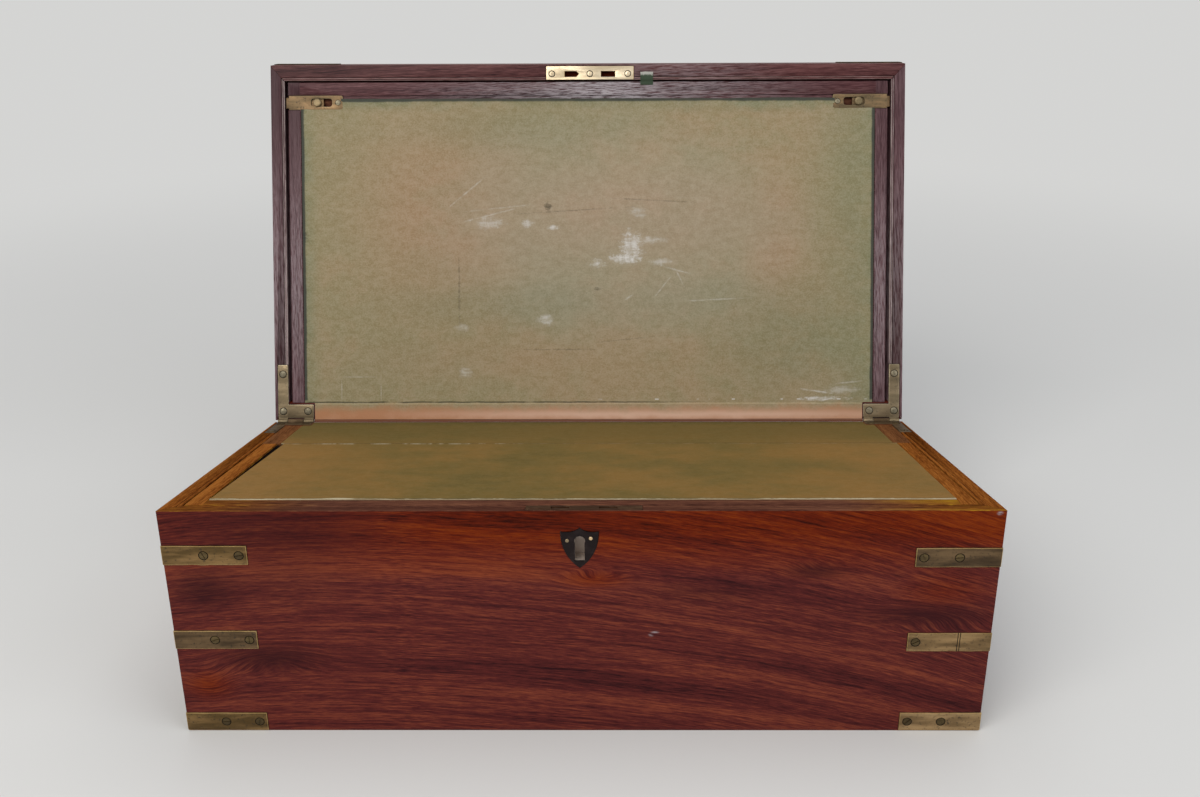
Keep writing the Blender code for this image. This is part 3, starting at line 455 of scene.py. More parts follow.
@dataclass(frozen=True)
class Wood:
    """A polished wood, with the colours of its deep streaks, its body and its bright streaks."""

    name: str
    dark: Colour
    body: Colour
    light: Colour
    grain: Grain
    shift: tuple = (0.0, 0.0, 0.0)
    roughness: float = 0.32
    gloss: float = 0.1
    # How far the grain bends down towards the board's ends
    bow: float = 0.0
    sway: float = 0.022
    contrast: float = 1.0
    # Ranges of height and of length over which it turns to the ruddy tone: a painted warm reflection at the
    # top of the front and at a rim's ends
    glow: Optional[tuple[float, float]] = None
    ends: Optional[tuple[float, float]] = None
    ruddy: Colour = (0.2, 0.03, 0.005)
    figures_and_sheen: tuple[Patch, ...] = ()

    # Repeats for each metre along the grain, through the board and across the grain
    DRIFT = (2.6, 9.0, 9.0)
    BANDS = (2.4, 26.0, 62.0)
    STREAKS = (15.0, 120.0, 560.0)
    DASHES = (85.0, 300.0, 1400.0)
    FIBRES = (150.0, 600.0, 2800.0)
    PORES = (130.0, 900.0, 3000.0)
    # Slant of the grain, and colour of rubbed chips and of painted sheen
    SLANT = 0.025
    RUBBED_AND_SHEEN = (0.4, 0.36, 0.38)

    def material(self) -> Material:
        """Makes the finish's material.

        Returns:
            The material.
        """
        tree = Tree(self.name)
        place = tree.place(self.grain.value, self.shift)
        along, _, height = tree.split(tree.place())
        x, y, z = tree.split(place)
        drift = tree.noise(place, self.DRIFT, 2.0)
        bowed = (along * along + along * 0.2) * self.bow
        level = z + drift.swing(self.sway) + x * self.SLANT + bowed
        ruddy: Any = 0.0
        dark: Any = 0.0
        pale: Any = 0.0
        # Each patch adds figure or chips, and on the lid's margins and rims painted sheen and painted shade
        for figure in self.figures_and_sheen:
            felt = (figure.away(along, height) ** 0.5).ease(1.0, 0.0)
            level = level + felt * figure.swirl
            ruddy = felt * figure.ruddy + ruddy
            dark = felt * figure.dark + dark
            pale = felt * figure.pale + pale if figure.pale else pale
        bent = tree.gather(x, y, level)
        bands = tree.noise(bent, self.BANDS, 3.0, 0.55)
        streaks = tree.noise(bent, self.STREAKS, 4.0, 0.72)
        dashes = tree.noise(bent, self.DASHES, 3.0, 0.72)
        fibres = tree.noise(bent, self.FIBRES, 2.0)
        layers = bands * 1.15 + streaks * 1.0 + dashes * 1.3 + fibres * 0.65 - 2.05
        tone = layers * self.contrast + 0.5
        colour = tree.ramp(tone, [(0.16, self.dark), (0.5, self.body), (0.86, self.light)])
        if self.glow:
            rise = (height + bands.swing(0.03)).ease(*self.glow)
            ruddy = rise * ((along + drift.swing(0.3)).ease(-0.24, -0.02) * 0.75 + 0.25) + ruddy
        if self.ends:
            ruddy = (abs(along) + bands.swing(0.04)).ease(*self.ends) + ruddy
        if isinstance(ruddy, Value):
            deep = tuple(part * 0.18 for part in self.ruddy)
            bright = (self.ruddy[0] * 2.0, self.ruddy[1] * 3.6, self.ruddy[2])
            warm = tree.ramp(tone, [(0.14, deep), (0.5, self.ruddy), (0.9, bright)])
            colour = tree.mix(ruddy * 0.9, colour, warm)
        if isinstance(dark, Value):
            colour = tree.mix(dark * 0.8, colour, self.dark)
        # Pale patches: rubbed chips, and painted sheen
        if isinstance(pale, Value):
            colour = tree.mix(pale * dashes.ease(0.38, 0.58) * 1.4, colour, self.RUBBED_AND_SHEEN)
        pores = tree.noise(bent, self.PORES, 1.0).ease(0.62, 0.74)
        colour = tree.mix(pores * 0.5, colour, self.dark)
        tree.surface(Base_Color=colour, Roughness=self.roughness + fibres.swing(0.14))
        tree.surface(Specular_IOR_Level=self.gloss)
        tree.bump(fibres * 0.6 - pores * 0.8 + streaks * 0.4, 0.1, 0.0004)
        return tree.material


@dataclass(frozen=True)
class Brass:
    """A copper alloy: dull where it is tarnished, warm where it is handled, and spotted with grime."""

    name: str
    dull: Colour
    warm: Colour
    spot: Colour
    metal: float = 0.9
    roughness: float = 0.4
    grime: float = 0.5

    # Repeats for each metre on each axis
    PATCHES = (26.0, 26.0, 130.0)
    SPECKLE = (520.0, 520.0, 520.0)
    SCRATCHES = (60.0, 900.0, 1500.0)

    def material(self) -> Material:
        """Makes the finish's material.

        Returns:
            The material.
        """
        tree = Tree(self.name)
        place = tree.place()
        patches = tree.noise(place, self.PATCHES, 3.0, 0.6).ease(0.35, 0.68)
        speckle = tree.noise(place, self.SPECKLE, 3.0, 0.6)
        scratches = tree.noise(place, self.SCRATCHES, 2.0).ease(0.6, 0.75)
        colour = tree.mix(patches, self.dull, self.warm)
        colour = tree.mix(speckle.ease(0.54, 0.74) * self.grime, colour, self.spot)
        colour = tree.mix(scratches * 0.3, colour, self.warm)
        metallic = self.metal - speckle.ease(0.55, 0.75) * self.grime * 0.5
        tree.surface(Base_Color=colour, Metallic=metallic)
        tree.surface(Roughness=self.roughness + speckle * 0.2 - patches * 0.08)
        tree.bump(speckle + patches * 0.5 - scratches * 0.3, 0.18, 0.0003)
        return tree.material


class Ground:
    """What a leather's pattern is drawn on: places on the flat skin, and noises, broad to fine."""

    PLACE = "laid_place"

    def __init__(self, tree: Tree) -> None:
        """Reads the places that the skin keeps, and spreads the noises over them.

        Args:
            tree: The finish's tree.
        """
        place = tree.node("ShaderNodeAttribute", {"attribute_name": self.PLACE}, output="Vector")
        self.tree = tree
        self.x, y, _ = tree.split(place)
        self.distance = 0.0 - y
        self.clouds = tree.noise(place, (8.0, 10.0, 9.0), 3.0, 0.6)
        self.mottle = tree.noise(place, (46.0, 60.0, 50.0), 4.0, 0.68)
        self.rubs = tree.noise(place, (150.0, 210.0, 150.0), 5.0, 0.75)
        self.fine = tree.noise(place, (1000.0, 1000.0, 1000.0), 2.0, 0.6)
        weft = tree.noise(place, (75.0, 360.0, 40.0), 4.0, 0.72, 0.5)
        warp = tree.noise(place, (360.0, 75.0, 40.0), 4.0, 0.72, 0.5)
        self.weave = weft * 0.6 + warp * 0.4
        self.pebbles = tree.cells(place, 850.0)

    def dashes(self, row: float, scale: float, detail: float, rough: float) -> Value:
        """Noise that changes along the box alone, and from row to row."""
        line = self.tree.gather(self.x, row, 0.0)
        return self.tree.noise(line, (scale, 1.0, 1.0), detail, rough)


@dataclass(frozen=True)
class Leather:
    """The old leather of one slope: green where it is spared, then olive, faded and brown."""

    slope: Slope
    green: Colour
    olive: Colour
    faded: Colour
    brown: Colour
    pale: Colour
    gloss: float
    threads: float
    scuffs: tuple[Patch, ...] = ()

    INK = (0.03, 0.026, 0.016)
    RAW = (0.5, 0.44, 0.3)
    # The lid's strip at the hinge from dark to light, then its painted highlight; its lowest line and its
    # border
    TAN, LIGHT_TAN, SHINE = (0.42, 0.2, 0.1), (0.58, 0.34, 0.23), (0.74, 0.53, 0.42)
    FOOT, BORDER = (0.09, 0.02, 0.01), (0.024, 0.03, 0.03)
    # Zones of the lid's leather: the palest, those that hands have browned, those still green
    PALEST = Patch(0.03, 0.15, 0.17, 0.11)
    BROWNED = (
        Patch(-0.117, 0.172, 0.085, 0.095, dark=0.85),
        Patch(0.152, 0.15, 0.035, 0.07, dark=0.75),
        Patch(0.03, 0.168, 0.16, 0.042, dark=0.7),
        Patch(-0.05, 0.05, 0.14, 0.022, dark=0.4),
    )
    SPARED = (
        Patch(0.18, 0.065, 0.09, 0.06, dark=0.75),
        Patch(-0.05, 0.094, 0.12, 0.022, dark=0.5),
        Patch(0.1, 0.1, 0.09, 0.02, dark=0.45),
        Patch(-0.05, 0.235, 0.12, 0.02, dark=0.4),
    )

    @property
    def name(self) -> str:
        """The finish's name."""
        return f"{self.slope.home}_leather"

    def material(self) -> Material:
        """Makes the finish's material.

        Returns:
            The material.
        """
        tree = Tree(self.name)
        on = Ground(tree)
        fading = (on.clouds * 0.8 + on.mottle * 0.4).ease(0.46, 0.74)
        colour = tree.mix(fading, self.olive, self.faded)
        colour = tree.mix(self._handled(on) * 0.85, colour, self.brown)
        colour = tree.mix(self._fresh(on) * 0.8, colour, self.green)
        if self.slope is LID_SLOPE:
            bleached = (self.PALEST.away(on.x, on.distance) + on.clouds - 0.5).ease(1.1, 0.0)
            colour = tree.mix(bleached * 0.11, colour, self.pale)
        low = tree.mix(0.22 * self.threads, colour, self.INK)
        high = tree.mix(0.17 * self.threads, colour, self.pale)
        texture = on.weave * 0.22 + on.rubs * 0.4 + on.fine * 0.38
        colour = tree.mix(texture.ease(0.36, 0.64), low, high)
        colour = self._rubbed(on, colour)
        marks = self._base_marks if self.slope is BASE_SLOPE else self._lid_marks
        colour = marks(on, colour)
        tree.surface(Base_Color=colour, Roughness=0.6 + on.fine * 0.12)
        tree.surface(Specular_IOR_Level=self.gloss)
        relief = on.pebbles * 0.4 + on.mottle * 0.9 + on.rubs * 0.8 + on.weave * 0.4
        tree.bump(relief, 0.24, 0.0004)
        return tree.material

    def _handled(self, on: Ground) -> Value:
        """How far hands have browned each place.

        Args:
            on: The leather's ground.

        Returns:
            0 where it is untouched, and 1 where it is brown.
        """
        patches = (on.clouds * 0.8 + on.mottle * 0.3).ease(0.46, 0.66)
        if self.slope is BASE_SLOPE:
            left = (on.x + on.clouds.swing(0.1)).ease(-0.15, -0.215)
            right = (on.x + on.clouds.swing(0.1)).ease(0.14, 0.2) * 0.5
            return (patches * 0.6 + left + right) * on.distance.ease(0.03, 0.1)
        wander = on.clouds.swing(1.4) + on.mottle.swing(0.5)
        worn = patches * 0.25
        for zone in self.BROWNED:
            felt = (zone.away(on.x, on.distance) ** 0.5 + wander).ease(1.25, 0.2)
            worn = worn.most(felt * zone.dark)
        return worn * (patches * 0.4 + 0.6)

    def _fresh(self, on: Ground) -> Value:
        """How far each place is spared from wear.

        Args:
            on: The leather's ground.

        Returns:
            0 where it is worn, and 1 where it is still green.
        """
        if self.slope is BASE_SLOPE:
            hinge = (on.distance + on.mottle.swing(0.02)).ease(0.03, 0.002)
            hinge = hinge.most(on.distance.ease(0.12, 0.05) * 0.45)
            return hinge.most((on.clouds * 0.7 + on.mottle * 0.4).ease(0.5, 0.38) * 0.4)
        wander = on.clouds.swing(0.02) + on.mottle.swing(0.014)
        edges = (abs(on.x) + wander).ease(0.213, 0.231)
        edges = edges.most((on.distance + wander).ease(0.245, 0.261))
        edges = edges.most((on.x + wander).ease(0.16, 0.228) * 0.8)
        for zone in self.SPARED:
            felt = (zone.away(on.x, on.distance) ** 0.5 + wander * 14.0).ease(1.25, 0.2)
            edges = edges.most(felt * zone.dark)
        return edges * (on.mottle.ease(0.3, 0.6) * 0.5 + 0.5)

    def _rubbed(self, on: Ground, colour: Value) -> Value:
        """Adds the scuffs, ragged and broken up by the surface's threads.

        Args:
            on: The leather's ground.
            colour: The colour so far.

        Returns:
            The colour with its scuffs.
        """
        threads = on.weave.ease(0.36, 0.58) * 0.75 + 0.25
        for scuff in self.scuffs:
            away = scuff.away(on.x, on.distance)
            near = (away ** 0.5 + on.rubs.swing(3.2)).ease(1.1, 0.1) * threads * away.ease(4.0, 1.5)
            tone = self.pale if scuff.pale else self.INK
            colour = on.tree.mix(near * (scuff.pale + scuff.dark), colour, tone)
        return colour

    def _base_marks(self, on: Ground, colour: Value) -> Value:
        """Adds the base's crease with its pale dashes, and the raw front edge.

        Args:
            on: The leather's ground.
            colour: The colour so far.

        Returns:
            The colour with its marks.
        """
        mix, end = on.tree.mix, self.slope.end
        dashes = on.dashes(0.0, 75.0, 3.0, 0.7).ease(0.44, 0.58)
        torn = abs(on.x + 0.14).ease(0.1, 0.05) * 0.85 + 0.15
        line = on.distance - self.slope.seam + on.mottle.swing(0.0016)
        colour = mix(abs(line).ease(0.0012, 0.0003) * 0.5, colour, self.INK)
        colour = mix(abs(line - 0.0016).ease(0.0014, 0.0003) * dashes * torn, colour, self.pale)
        wave = on.distance + on.mottle.swing(0.0014) + dashes.swing(0.0004)
        colour = mix(wave.ease(end - 0.0032, end - 0.0018) * 0.5, colour, self.INK)
        worn = on.mottle.ease(0.36, 0.56) * 0.75 + 0.25
        curled = abs(on.x + 0.145).ease(0.024, 0.004) * 0.0018 + dashes * 0.0005
        return mix((wave + curled).ease(end - 0.0019, end - 0.0012) * worn, colour, self.RAW)

    def _lid_marks(self, on: Ground, colour: Value) -> Value:
        """Adds the lid's tan strip at the hinge with its painted highlight, the fold above it and the dark
        frayed border.

        Args:
            on: The leather's ground.
            colour: The colour so far.

        Returns:
            The colour with its marks.
        """
        mix, x, distance, mottle = on.tree.mix, on.x, on.distance, on.mottle
        dashes = on.dashes(0.0, 34.0, 3.0, 0.7)
        stitches = on.dashes(3.0, 150.0, 2.0, 0.6).ease(0.57, 0.63)
        fray = distance + mottle.swing(0.012) + dashes.swing(0.003)
        # The strip is painted lighter towards its middle, with a painted highlight along its lower part
        centre = abs(x - 0.06).ease(0.27, 0.05)
        tan = mix(centre * 0.5 + mottle.swing(1.2), self.TAN, self.LIGHT_TAN)
        shine = centre * abs(distance - 0.0055 + mottle.swing(0.003)).ease(0.005, 0.0)
        tan = mix(shine * 0.45, tan, self.SHINE)
        colour = mix(fray.ease(0.0155, 0.0055), colour, tan)
        fold = abs(distance - self.slope.seam - 0.0006 + mottle.swing(0.0018)).ease(0.0009, 0.0002)
        colour = mix(fold * dashes.ease(0.36, 0.5) * x.ease(0.12, 0.0) * 0.75, colour, self.INK)
        sewn = abs(distance - 0.0176).ease(0.0007, 0.0002) * stitches * x.ease(-0.02, 0.05)
        colour = mix(sewn * 0.8, colour, self.pale)
        colour = mix(distance.ease(0.0018, 0.0004) * 0.85, colour, self.FOOT)
        border = (abs(x) + mottle.swing(0.0016)).ease(0.2272, 0.2286)
        far = (self.slope.end - 0.0031, self.slope.end - 0.0016)
        border = border.most((distance + mottle.swing(0.0018)).ease(*far))
        return mix(border * distance.ease(0.016, 0.018) * 0.85, colour, self.BORDER)


@dataclass(frozen=True)
class Cloth:
    """Woven ribbon of the pull tab, which fades from a distance on to its frayed end."""

    name: str = "green_ribbon_cloth"
    green: Colour = (0.03, 0.047, 0.026)
    raised: Colour = (0.04, 0.085, 0.04)
    faded: Colour = (0.4, 0.4, 0.36)
    fade_start: float = 0.2765
    fade: float = 0.0022
    thread: float = 9000.0

    def material(self) -> Material:
        """Makes the finish's material.

        Returns:
            The material.
        """
        tree = Tree(self.name)
        place = tree.on_slope(LID_SLOPE)
        x, y, _ = tree.split(place)
        weave = ((x * self.thread).sine() * (y * self.thread).sine()) * 0.5 + 0.5
        fray = tree.noise(place, (700.0, 500.0, 500.0), 2.0)
        pale = ((0.0 - y) + fray.swing(0.003)).ease(self.fade_start, self.fade_start + self.fade)
        colour = tree.mix(weave * 0.4, self.green, self.raised)
        tree.surface(Base_Color=tree.mix(pale, colour, self.faded), Roughness=0.85 - weave * 0.1)
        tree.bump(weave, 0.3, 0.0002)
        return tree.material


@dataclass(frozen=True)
class Iron:
    """A plain dull surface, lighter where it is rubbed: iron, dull brass, a raw edge, or near black as
    painted shade.
    """

    name: str
    dark: Colour
    light: Colour
    metal: float
    roughness: float
    gloss: float = 0.3

    def material(self) -> Material:
        """Makes the finish's material.

        Returns:
            The material.
        """
        tree = Tree(self.name)
        place = tree.place()
        rub = tree.noise(place, (110.0, 110.0, 110.0), 4.0, 0.65)
        fine = tree.noise(place, (1300.0, 1300.0, 1300.0), 2.0)
        colour = tree.mix(rub.ease(0.45, 0.75), self.dark, self.light)
        tree.surface(Base_Color=colour, Roughness=self.roughness + fine * 0.18 - rub * 0.1)
        tree.surface(Metallic=self.metal, Specular_IOR_Level=self.gloss)
        tree.bump(fine + rub, 0.12, 0.0002)
        return tree.material


class Finishes:
    """Every finish of the box, each made once when it is first asked for."""

    # Deep streaks, body and bright streaks of each wood
    ROSEWOOD = ((0.02, 0.0035, 0.0035), (0.1, 0.0135, 0.0065), (0.21, 0.04, 0.012))
    FRONT = ((0.026, 0.0055, 0.0075), (0.106, 0.0185, 0.0165), (0.25, 0.058, 0.028))
    # The plum palettes paint a bluish reflection over the lid's rosewood rims and margins; the side palette
    # is a lighter copy
    PLUM_SIDE = ((0.046, 0.021, 0.024), (0.118, 0.06, 0.067), (0.2, 0.12, 0.13))
    PLUM = ((0.03, 0.011, 0.014), (0.092, 0.036, 0.039), (0.17, 0.082, 0.085))
    PLUM_RIM = ((0.03, 0.009, 0.01), (0.088, 0.031, 0.031), (0.165, 0.07, 0.068))
    # Orange of the base's side rims and side margins: a painted warm reflection
    REFLECTING_RIM_WOOD = ((0.06, 0.016, 0.004), (0.2, 0.06, 0.011), (0.36, 0.13, 0.026))
    DUSKY = ((0.045, 0.016, 0.012), (0.115, 0.044, 0.028), (0.21, 0.09, 0.05))
    RAIL = ((0.045, 0.015, 0.006), (0.135, 0.052, 0.02), (0.23, 0.095, 0.035))
    DEAL = ((0.11, 0.05, 0.02), (0.2, 0.1, 0.045), (0.32, 0.18, 0.09))
    # Pale palettes of the lid linings' eased beads: painted highlights
    BEAD_PLUM = ((0.06, 0.03, 0.03), (0.19, 0.11, 0.1), (0.3, 0.2, 0.19))
    BEAD = ((0.12, 0.08, 0.08), (0.36, 0.29, 0.27), (0.52, 0.45, 0.42))
    # Name, dull, warm and spotted colours, metal, roughness and grime of each brass
    BRASSES = (
        ("strap_brass", (0.125, 0.077, 0.028), (0.33, 0.2, 0.08), (0.03, 0.018, 0.008), 0.85, 0.42, 0.75),
        ("spotted_brass", (0.24, 0.155, 0.072), (0.52, 0.35, 0.175), (0.02, 0.013, 0.008), 0.85, 0.44, 1.0),
        ("warm_brass", (0.165, 0.103, 0.046), (0.42, 0.27, 0.125), (0.03, 0.018, 0.008), 0.85, 0.42, 0.75),
        ("dim_brass", (0.074, 0.047, 0.025), (0.2, 0.127, 0.064), (0.02, 0.013, 0.007), 0.85, 0.45, 0.75),
        ("strap_edge", (0.42, 0.28, 0.1), (0.68, 0.48, 0.21), (0.12, 0.075, 0.03), 0.85, 0.38, 0.4),
        # Bright brass of rubbed edges, and of painted glints on the selvedge's edges and the right
        # escutcheon pin
        ("rubbed_brass", (0.56, 0.38, 0.19), (0.86, 0.64, 0.38), (0.24, 0.15, 0.06), 0.9, 0.3, 0.3),
        ("screw_brass", (0.09, 0.062, 0.027), (0.17, 0.118, 0.05), (0.03, 0.02, 0.01), 0.8, 0.45, 0.6),
        ("hinge_brass", (0.19, 0.145, 0.085), (0.33, 0.25, 0.15), (0.05, 0.04, 0.026), 0.85, 0.4, 0.5),
        ("hinge_edge", (0.34, 0.3, 0.2), (0.55, 0.48, 0.34), (0.12, 0.09, 0.05), 0.85, 0.36, 0.4),
        ("leaf_screw_brass", (0.2, 0.175, 0.12), (0.36, 0.31, 0.21), (0.05, 0.04, 0.026), 0.85, 0.4, 0.5),
        ("strike_brass", (0.62, 0.5, 0.33), (0.9, 0.76, 0.54), (0.36, 0.25, 0.14), 0.75, 0.36, 0.25),
        ("catch_brass", (0.13, 0.095, 0.05), (0.3, 0.19, 0.095), (0.04, 0.028, 0.016), 0.7, 0.5, 0.8),
        ("knob_brass", (0.2, 0.155, 0.085), (0.36, 0.27, 0.15), (0.06, 0.045, 0.025), 0.8, 0.5, 0.5),
    )
    # The front's knots, dark clouds and chips
    FIGURES = (
        Patch(-0.237, 0.035, 0.024, 0.017, ruddy=0.8, swirl=0.006),
        Patch(0.0432, 0.0728, 0.0026, 0.0024, pale=0.55),
        Patch(0.0456, 0.0742, 0.0034, 0.0017, pale=0.5),
        Patch(-0.18, 0.146, 0.1, 0.03, dark=0.6),
        Patch(-0.19, 0.112, 0.08, 0.03, dark=0.3),
        Patch(0.25, 0.1575, 0.0026, 0.0018, pale=1.0),
        Patch(-0.195, 0.055, 0.05, 0.016, dark=0.9, swirl=-0.01),
        Patch(-0.232, 0.104, 0.03, 0.022, dark=0.75),
        Patch(0.222, 0.104, 0.04, 0.018, ruddy=0.6),
        Patch(0.215, 0.086, 0.06, 0.014, dark=0.8, swirl=-0.008),
        Patch(0.143, 0.118, 0.03, 0.009, dark=0.8, swirl=0.003),
        Patch(0.008, 0.112, 0.03, 0.009, ruddy=0.7, swirl=0.006),
        Patch(0.075, 0.103, 0.06, 0.012, dark=0.45),
    )
    # Painted sheen and painted shade on the lid's margins and rims: pale patches are painted highlights,
    # dark ones painted shade
    FLAP_SHEEN = (Patch(0.02, 0.345, 0.2, 0.2, pale=0.5), Patch(0.012, 0.345, 0.06, 0.2, pale=0.35))
    RIM_SHEEN = (Patch(0.075, 0.355, 0.1, 0.2, pale=0.2), Patch(-0.2, 0.355, 0.1, 0.2, dark=0.35))
    SIDE_SHEEN = (
        Patch(0.0, 0.19, 3.0, 0.12, pale=0.25), Patch(0.0, 0.37, 3.0, 0.12, dark=0.5),
        Patch(-0.25, 0.32, 0.15, 0.12, dark=0.5),
    )
    # Rubs, stains and scratches of the lid's leather
    SCUFFS = (
        Patch(0.035, 0.141, 0.010, 0.014, pale=0.9), Patch(0.03, 0.131, 0.014, 0.0055, pale=0.95),
        Patch(0.05, 0.146, 0.013, 0.0035, pale=0.5), Patch(0.0075, 0.127, 0.007, 0.004, pale=0.85),
        Patch(0.0597, 0.1285, 0.012, 0.003, pale=0.5), Patch(0.04, 0.168, 0.008, 0.005, pale=0.4),
        Patch(-0.028, 0.156, 0.006, 0.0022, pale=0.95),
        Patch(-0.0488, 0.1595, 0.006, 0.004, pale=0.7), Patch(-0.08, 0.16, 0.014, 0.006, pale=0.5),
        Patch(-0.0346, 0.082, 0.007, 0.005, pale=0.6), Patch(-0.102, 0.075, 0.008, 0.004, pale=0.35),
        Patch(-0.0995, 0.0395, 0.006, 0.005, pale=0.4), Patch(0.19, 0.018, 0.02, 0.002, pale=0.8),
        Patch(-0.2288, 0.1494, 0.004, 0.0045, dark=0.8),
        Patch(-0.0319, 0.1728, 0.0035, 0.004, dark=0.65),
        Patch(0.008, 0.107, 0.005, 0.0018, dark=0.55), Patch(-0.104, 0.106, 0.0012, 0.03, dark=0.4),
        Patch(-0.098, 0.184, 0.024, 0.0008, pale=0.35, turn=0.69),
        Patch(0.073, 0.1215, 0.014, 0.0009, pale=0.4, turn=-0.27),
        Patch(0.074, 0.116, 0.009, 0.0008, pale=0.35, turn=-1.1),
        Patch(0.06, 0.108, 0.016, 0.0007, pale=0.3, turn=0.9),
        Patch(0.033, 0.1, 0.006, 0.001, pale=0.35, turn=0.6),
        Patch(-0.08, 0.166, 0.026, 0.0008, pale=0.35, turn=0.25),
        Patch(-0.07, 0.172, 0.03, 0.0007, pale=0.3, turn=0.1),
        Patch(0.05, 0.178, 0.045, 0.0008, dark=0.3, turn=-0.05),
        Patch(-0.01, 0.17, 0.05, 0.0008, dark=0.35, turn=0.06),
        Patch(-0.02, 0.058, 0.04, 0.0008, dark=0.35),
        Patch(0.03, 0.066, 0.03, 0.0007, dark=0.25, turn=0.1),
        Patch(0.1, 0.098, 0.03, 0.0007, pale=0.3, turn=0.05),
        Patch(0.205, 0.025, 0.016, 0.004, pale=0.35),
        Patch(0.185, 0.024, 0.013, 0.001, pale=0.5, turn=-0.15),
        Patch(0.21, 0.031, 0.014, 0.0009, pale=0.35, turn=0.1),
        Patch(-0.1845, 0.036, 0.017, 0.0007, pale=0.3), Patch(-0.2, 0.026, 0.0007, 0.011, pale=0.25),
        Patch(-0.168, 0.026, 0.0007, 0.011, pale=0.25),
    )

    def __init__(self) -> None:
        """Writes down the finishes."""
        kinds = [*self._woods(), *self._metals(), *self._soft()]
        self._kinds = {kind.name: kind for kind in kinds}
        self._made: dict[str, Material] = {}

    def __getitem__(self, name: str) -> Material:
        """The material of one finish.

        Args:
            name: The finish's name.

        Returns:
            The material.
        """
        if name not in self._made:
            self._made[name] = self._kinds[name].material()
        return self._made[name]

    def _woods(self) -> list[Wood]:
        """Lists the woods.

        Returns:
            The woods.
        """
        front = Wood(
            "front_rosewood", *self.FRONT, Grain.BASE_LONG, (0.11, 0.0, 0.02), gloss=0.06, bow=0.42,
            contrast=0.76, glow=(0.108, 0.15), ruddy=(0.135, 0.0125, 0.0006), figures_and_sheen=self.FIGURES,
        )
        # Rims turn ruddy towards their ends: a painted warm reflection
        rim = {"ends": (0.15, 0.235), "ruddy": (0.22, 0.07, 0.012), "roughness": 0.26, "gloss": 0.0}
        on_side = {"figures_and_sheen": self.SIDE_SHEEN}
        # worn holds the rims' orange palette, a painted warm reflection
        rose, plum_side, worn = self.ROSEWOOD, self.PLUM_SIDE, self.REFLECTING_RIM_WOOD
        level, upright = Grain.BASE_FLAT, Grain.BASE_SIDE_FLAT
        lid_level, lid_upright = Grain.LID_FLAT, Grain.LID_SIDE_FLAT
        return [
            front,
            Wood("back_rosewood", *rose, Grain.BASE_LONG, (1.7, 0.4, 0.3)),
            Wood("left_rosewood", *rose, Grain.BASE_SIDE, (2.2, 0.0, 0.7)),
            Wood("right_rosewood", *rose, Grain.BASE_SIDE, (3.1, 0.9, 0.2)),
            Wood("lid_rosewood", *rose, Grain.LID_LONG, (0.6, 2.0, 0.1)),
            Wood("lid_side_rosewood", *rose, Grain.LID_SIDE, (1.4, 0.3, 0.6)),
            Wood("lid_top_rosewood", *rose, lid_level, (2.9, 1.2, 0.5)),
            Wood("rim_wood_long", *self.DUSKY, level, (0.3, 0.2, 0.9), **rim),
            Wood("rim_wood_side", *worn, upright, (0.8, 0.1, 0.4), gloss=0.0),
            Wood("lid_rim_long", *self.PLUM_RIM, lid_level, (0.7, 1.0, 0.3), figures_and_sheen=self.RIM_SHEEN),
            Wood("lid_rim_side", *plum_side, lid_upright, (1.2, 0.6, 0.9), **on_side),
            Wood("hinge_rail_side", *self.RAIL, upright, (0.5, 0.3, 0.6), gloss=0.0),
            Wood("base_flap_wood", *self.DUSKY, level, (1.9, 0.5, 0.1), **rim),
            Wood("flap_side_wood", *worn, upright, (1.1, 0.7, 0.2), gloss=0.0),
            Wood("lid_flap_wood", *self.PLUM, lid_level, (0.4, 1.1, 0.8), figures_and_sheen=self.FLAP_SHEEN),
            Wood("lid_flap_side_wood", *plum_side, lid_upright, (0.2, 1.6, 0.3), **on_side),
            Wood("flap_under_wood", *self.DUSKY, level, (2.4, 0.8, 0.5), gloss=0.04),
            Wood("inner_wood", *self.DEAL, Grain.BASE_SIDE, (0.9, 1.9, 0.4), roughness=0.5),
            Wood("bead_plum", *self.BEAD_PLUM, lid_level),
            Wood("bead_wood", *self.BEAD, lid_upright),
        ]

    def _metals(self) -> list[Any]:
        """Lists the metals.

        Returns:
            The brasses, and then the metals that are dull all over.
        """
        return [Brass(*row) for row in self.BRASSES] + [
            Iron("tarnished_brass", (0.04, 0.026, 0.013), (0.1, 0.068, 0.032), 0.25, 0.55, 0.04),
            Iron("selvedge_brass", (0.05, 0.024, 0.014), (0.1, 0.052, 0.03), 0.15, 0.45, 0.02),
            Iron("base_leaf_brass", (0.085, 0.055, 0.03), (0.17, 0.115, 0.065), 0.25, 0.45, 0.03),
            # Near black on the walls of sunk seats, scores and windows: painted shade
            Iron("recess_painted_shade", (0.016, 0.011, 0.006), (0.035, 0.024, 0.012), 0.2, 0.75),
            Iron("black_iron", (0.011, 0.006, 0.006), (0.03, 0.019, 0.018), 0.5, 0.36),
            Iron("bolt_iron", (0.045, 0.024, 0.016), (0.09, 0.055, 0.035), 0.3, 0.45, 0.03),
            Iron("lock_steel", (0.5, 0.42, 0.36), (0.72, 0.63, 0.56), 0.35, 0.45),
        ]

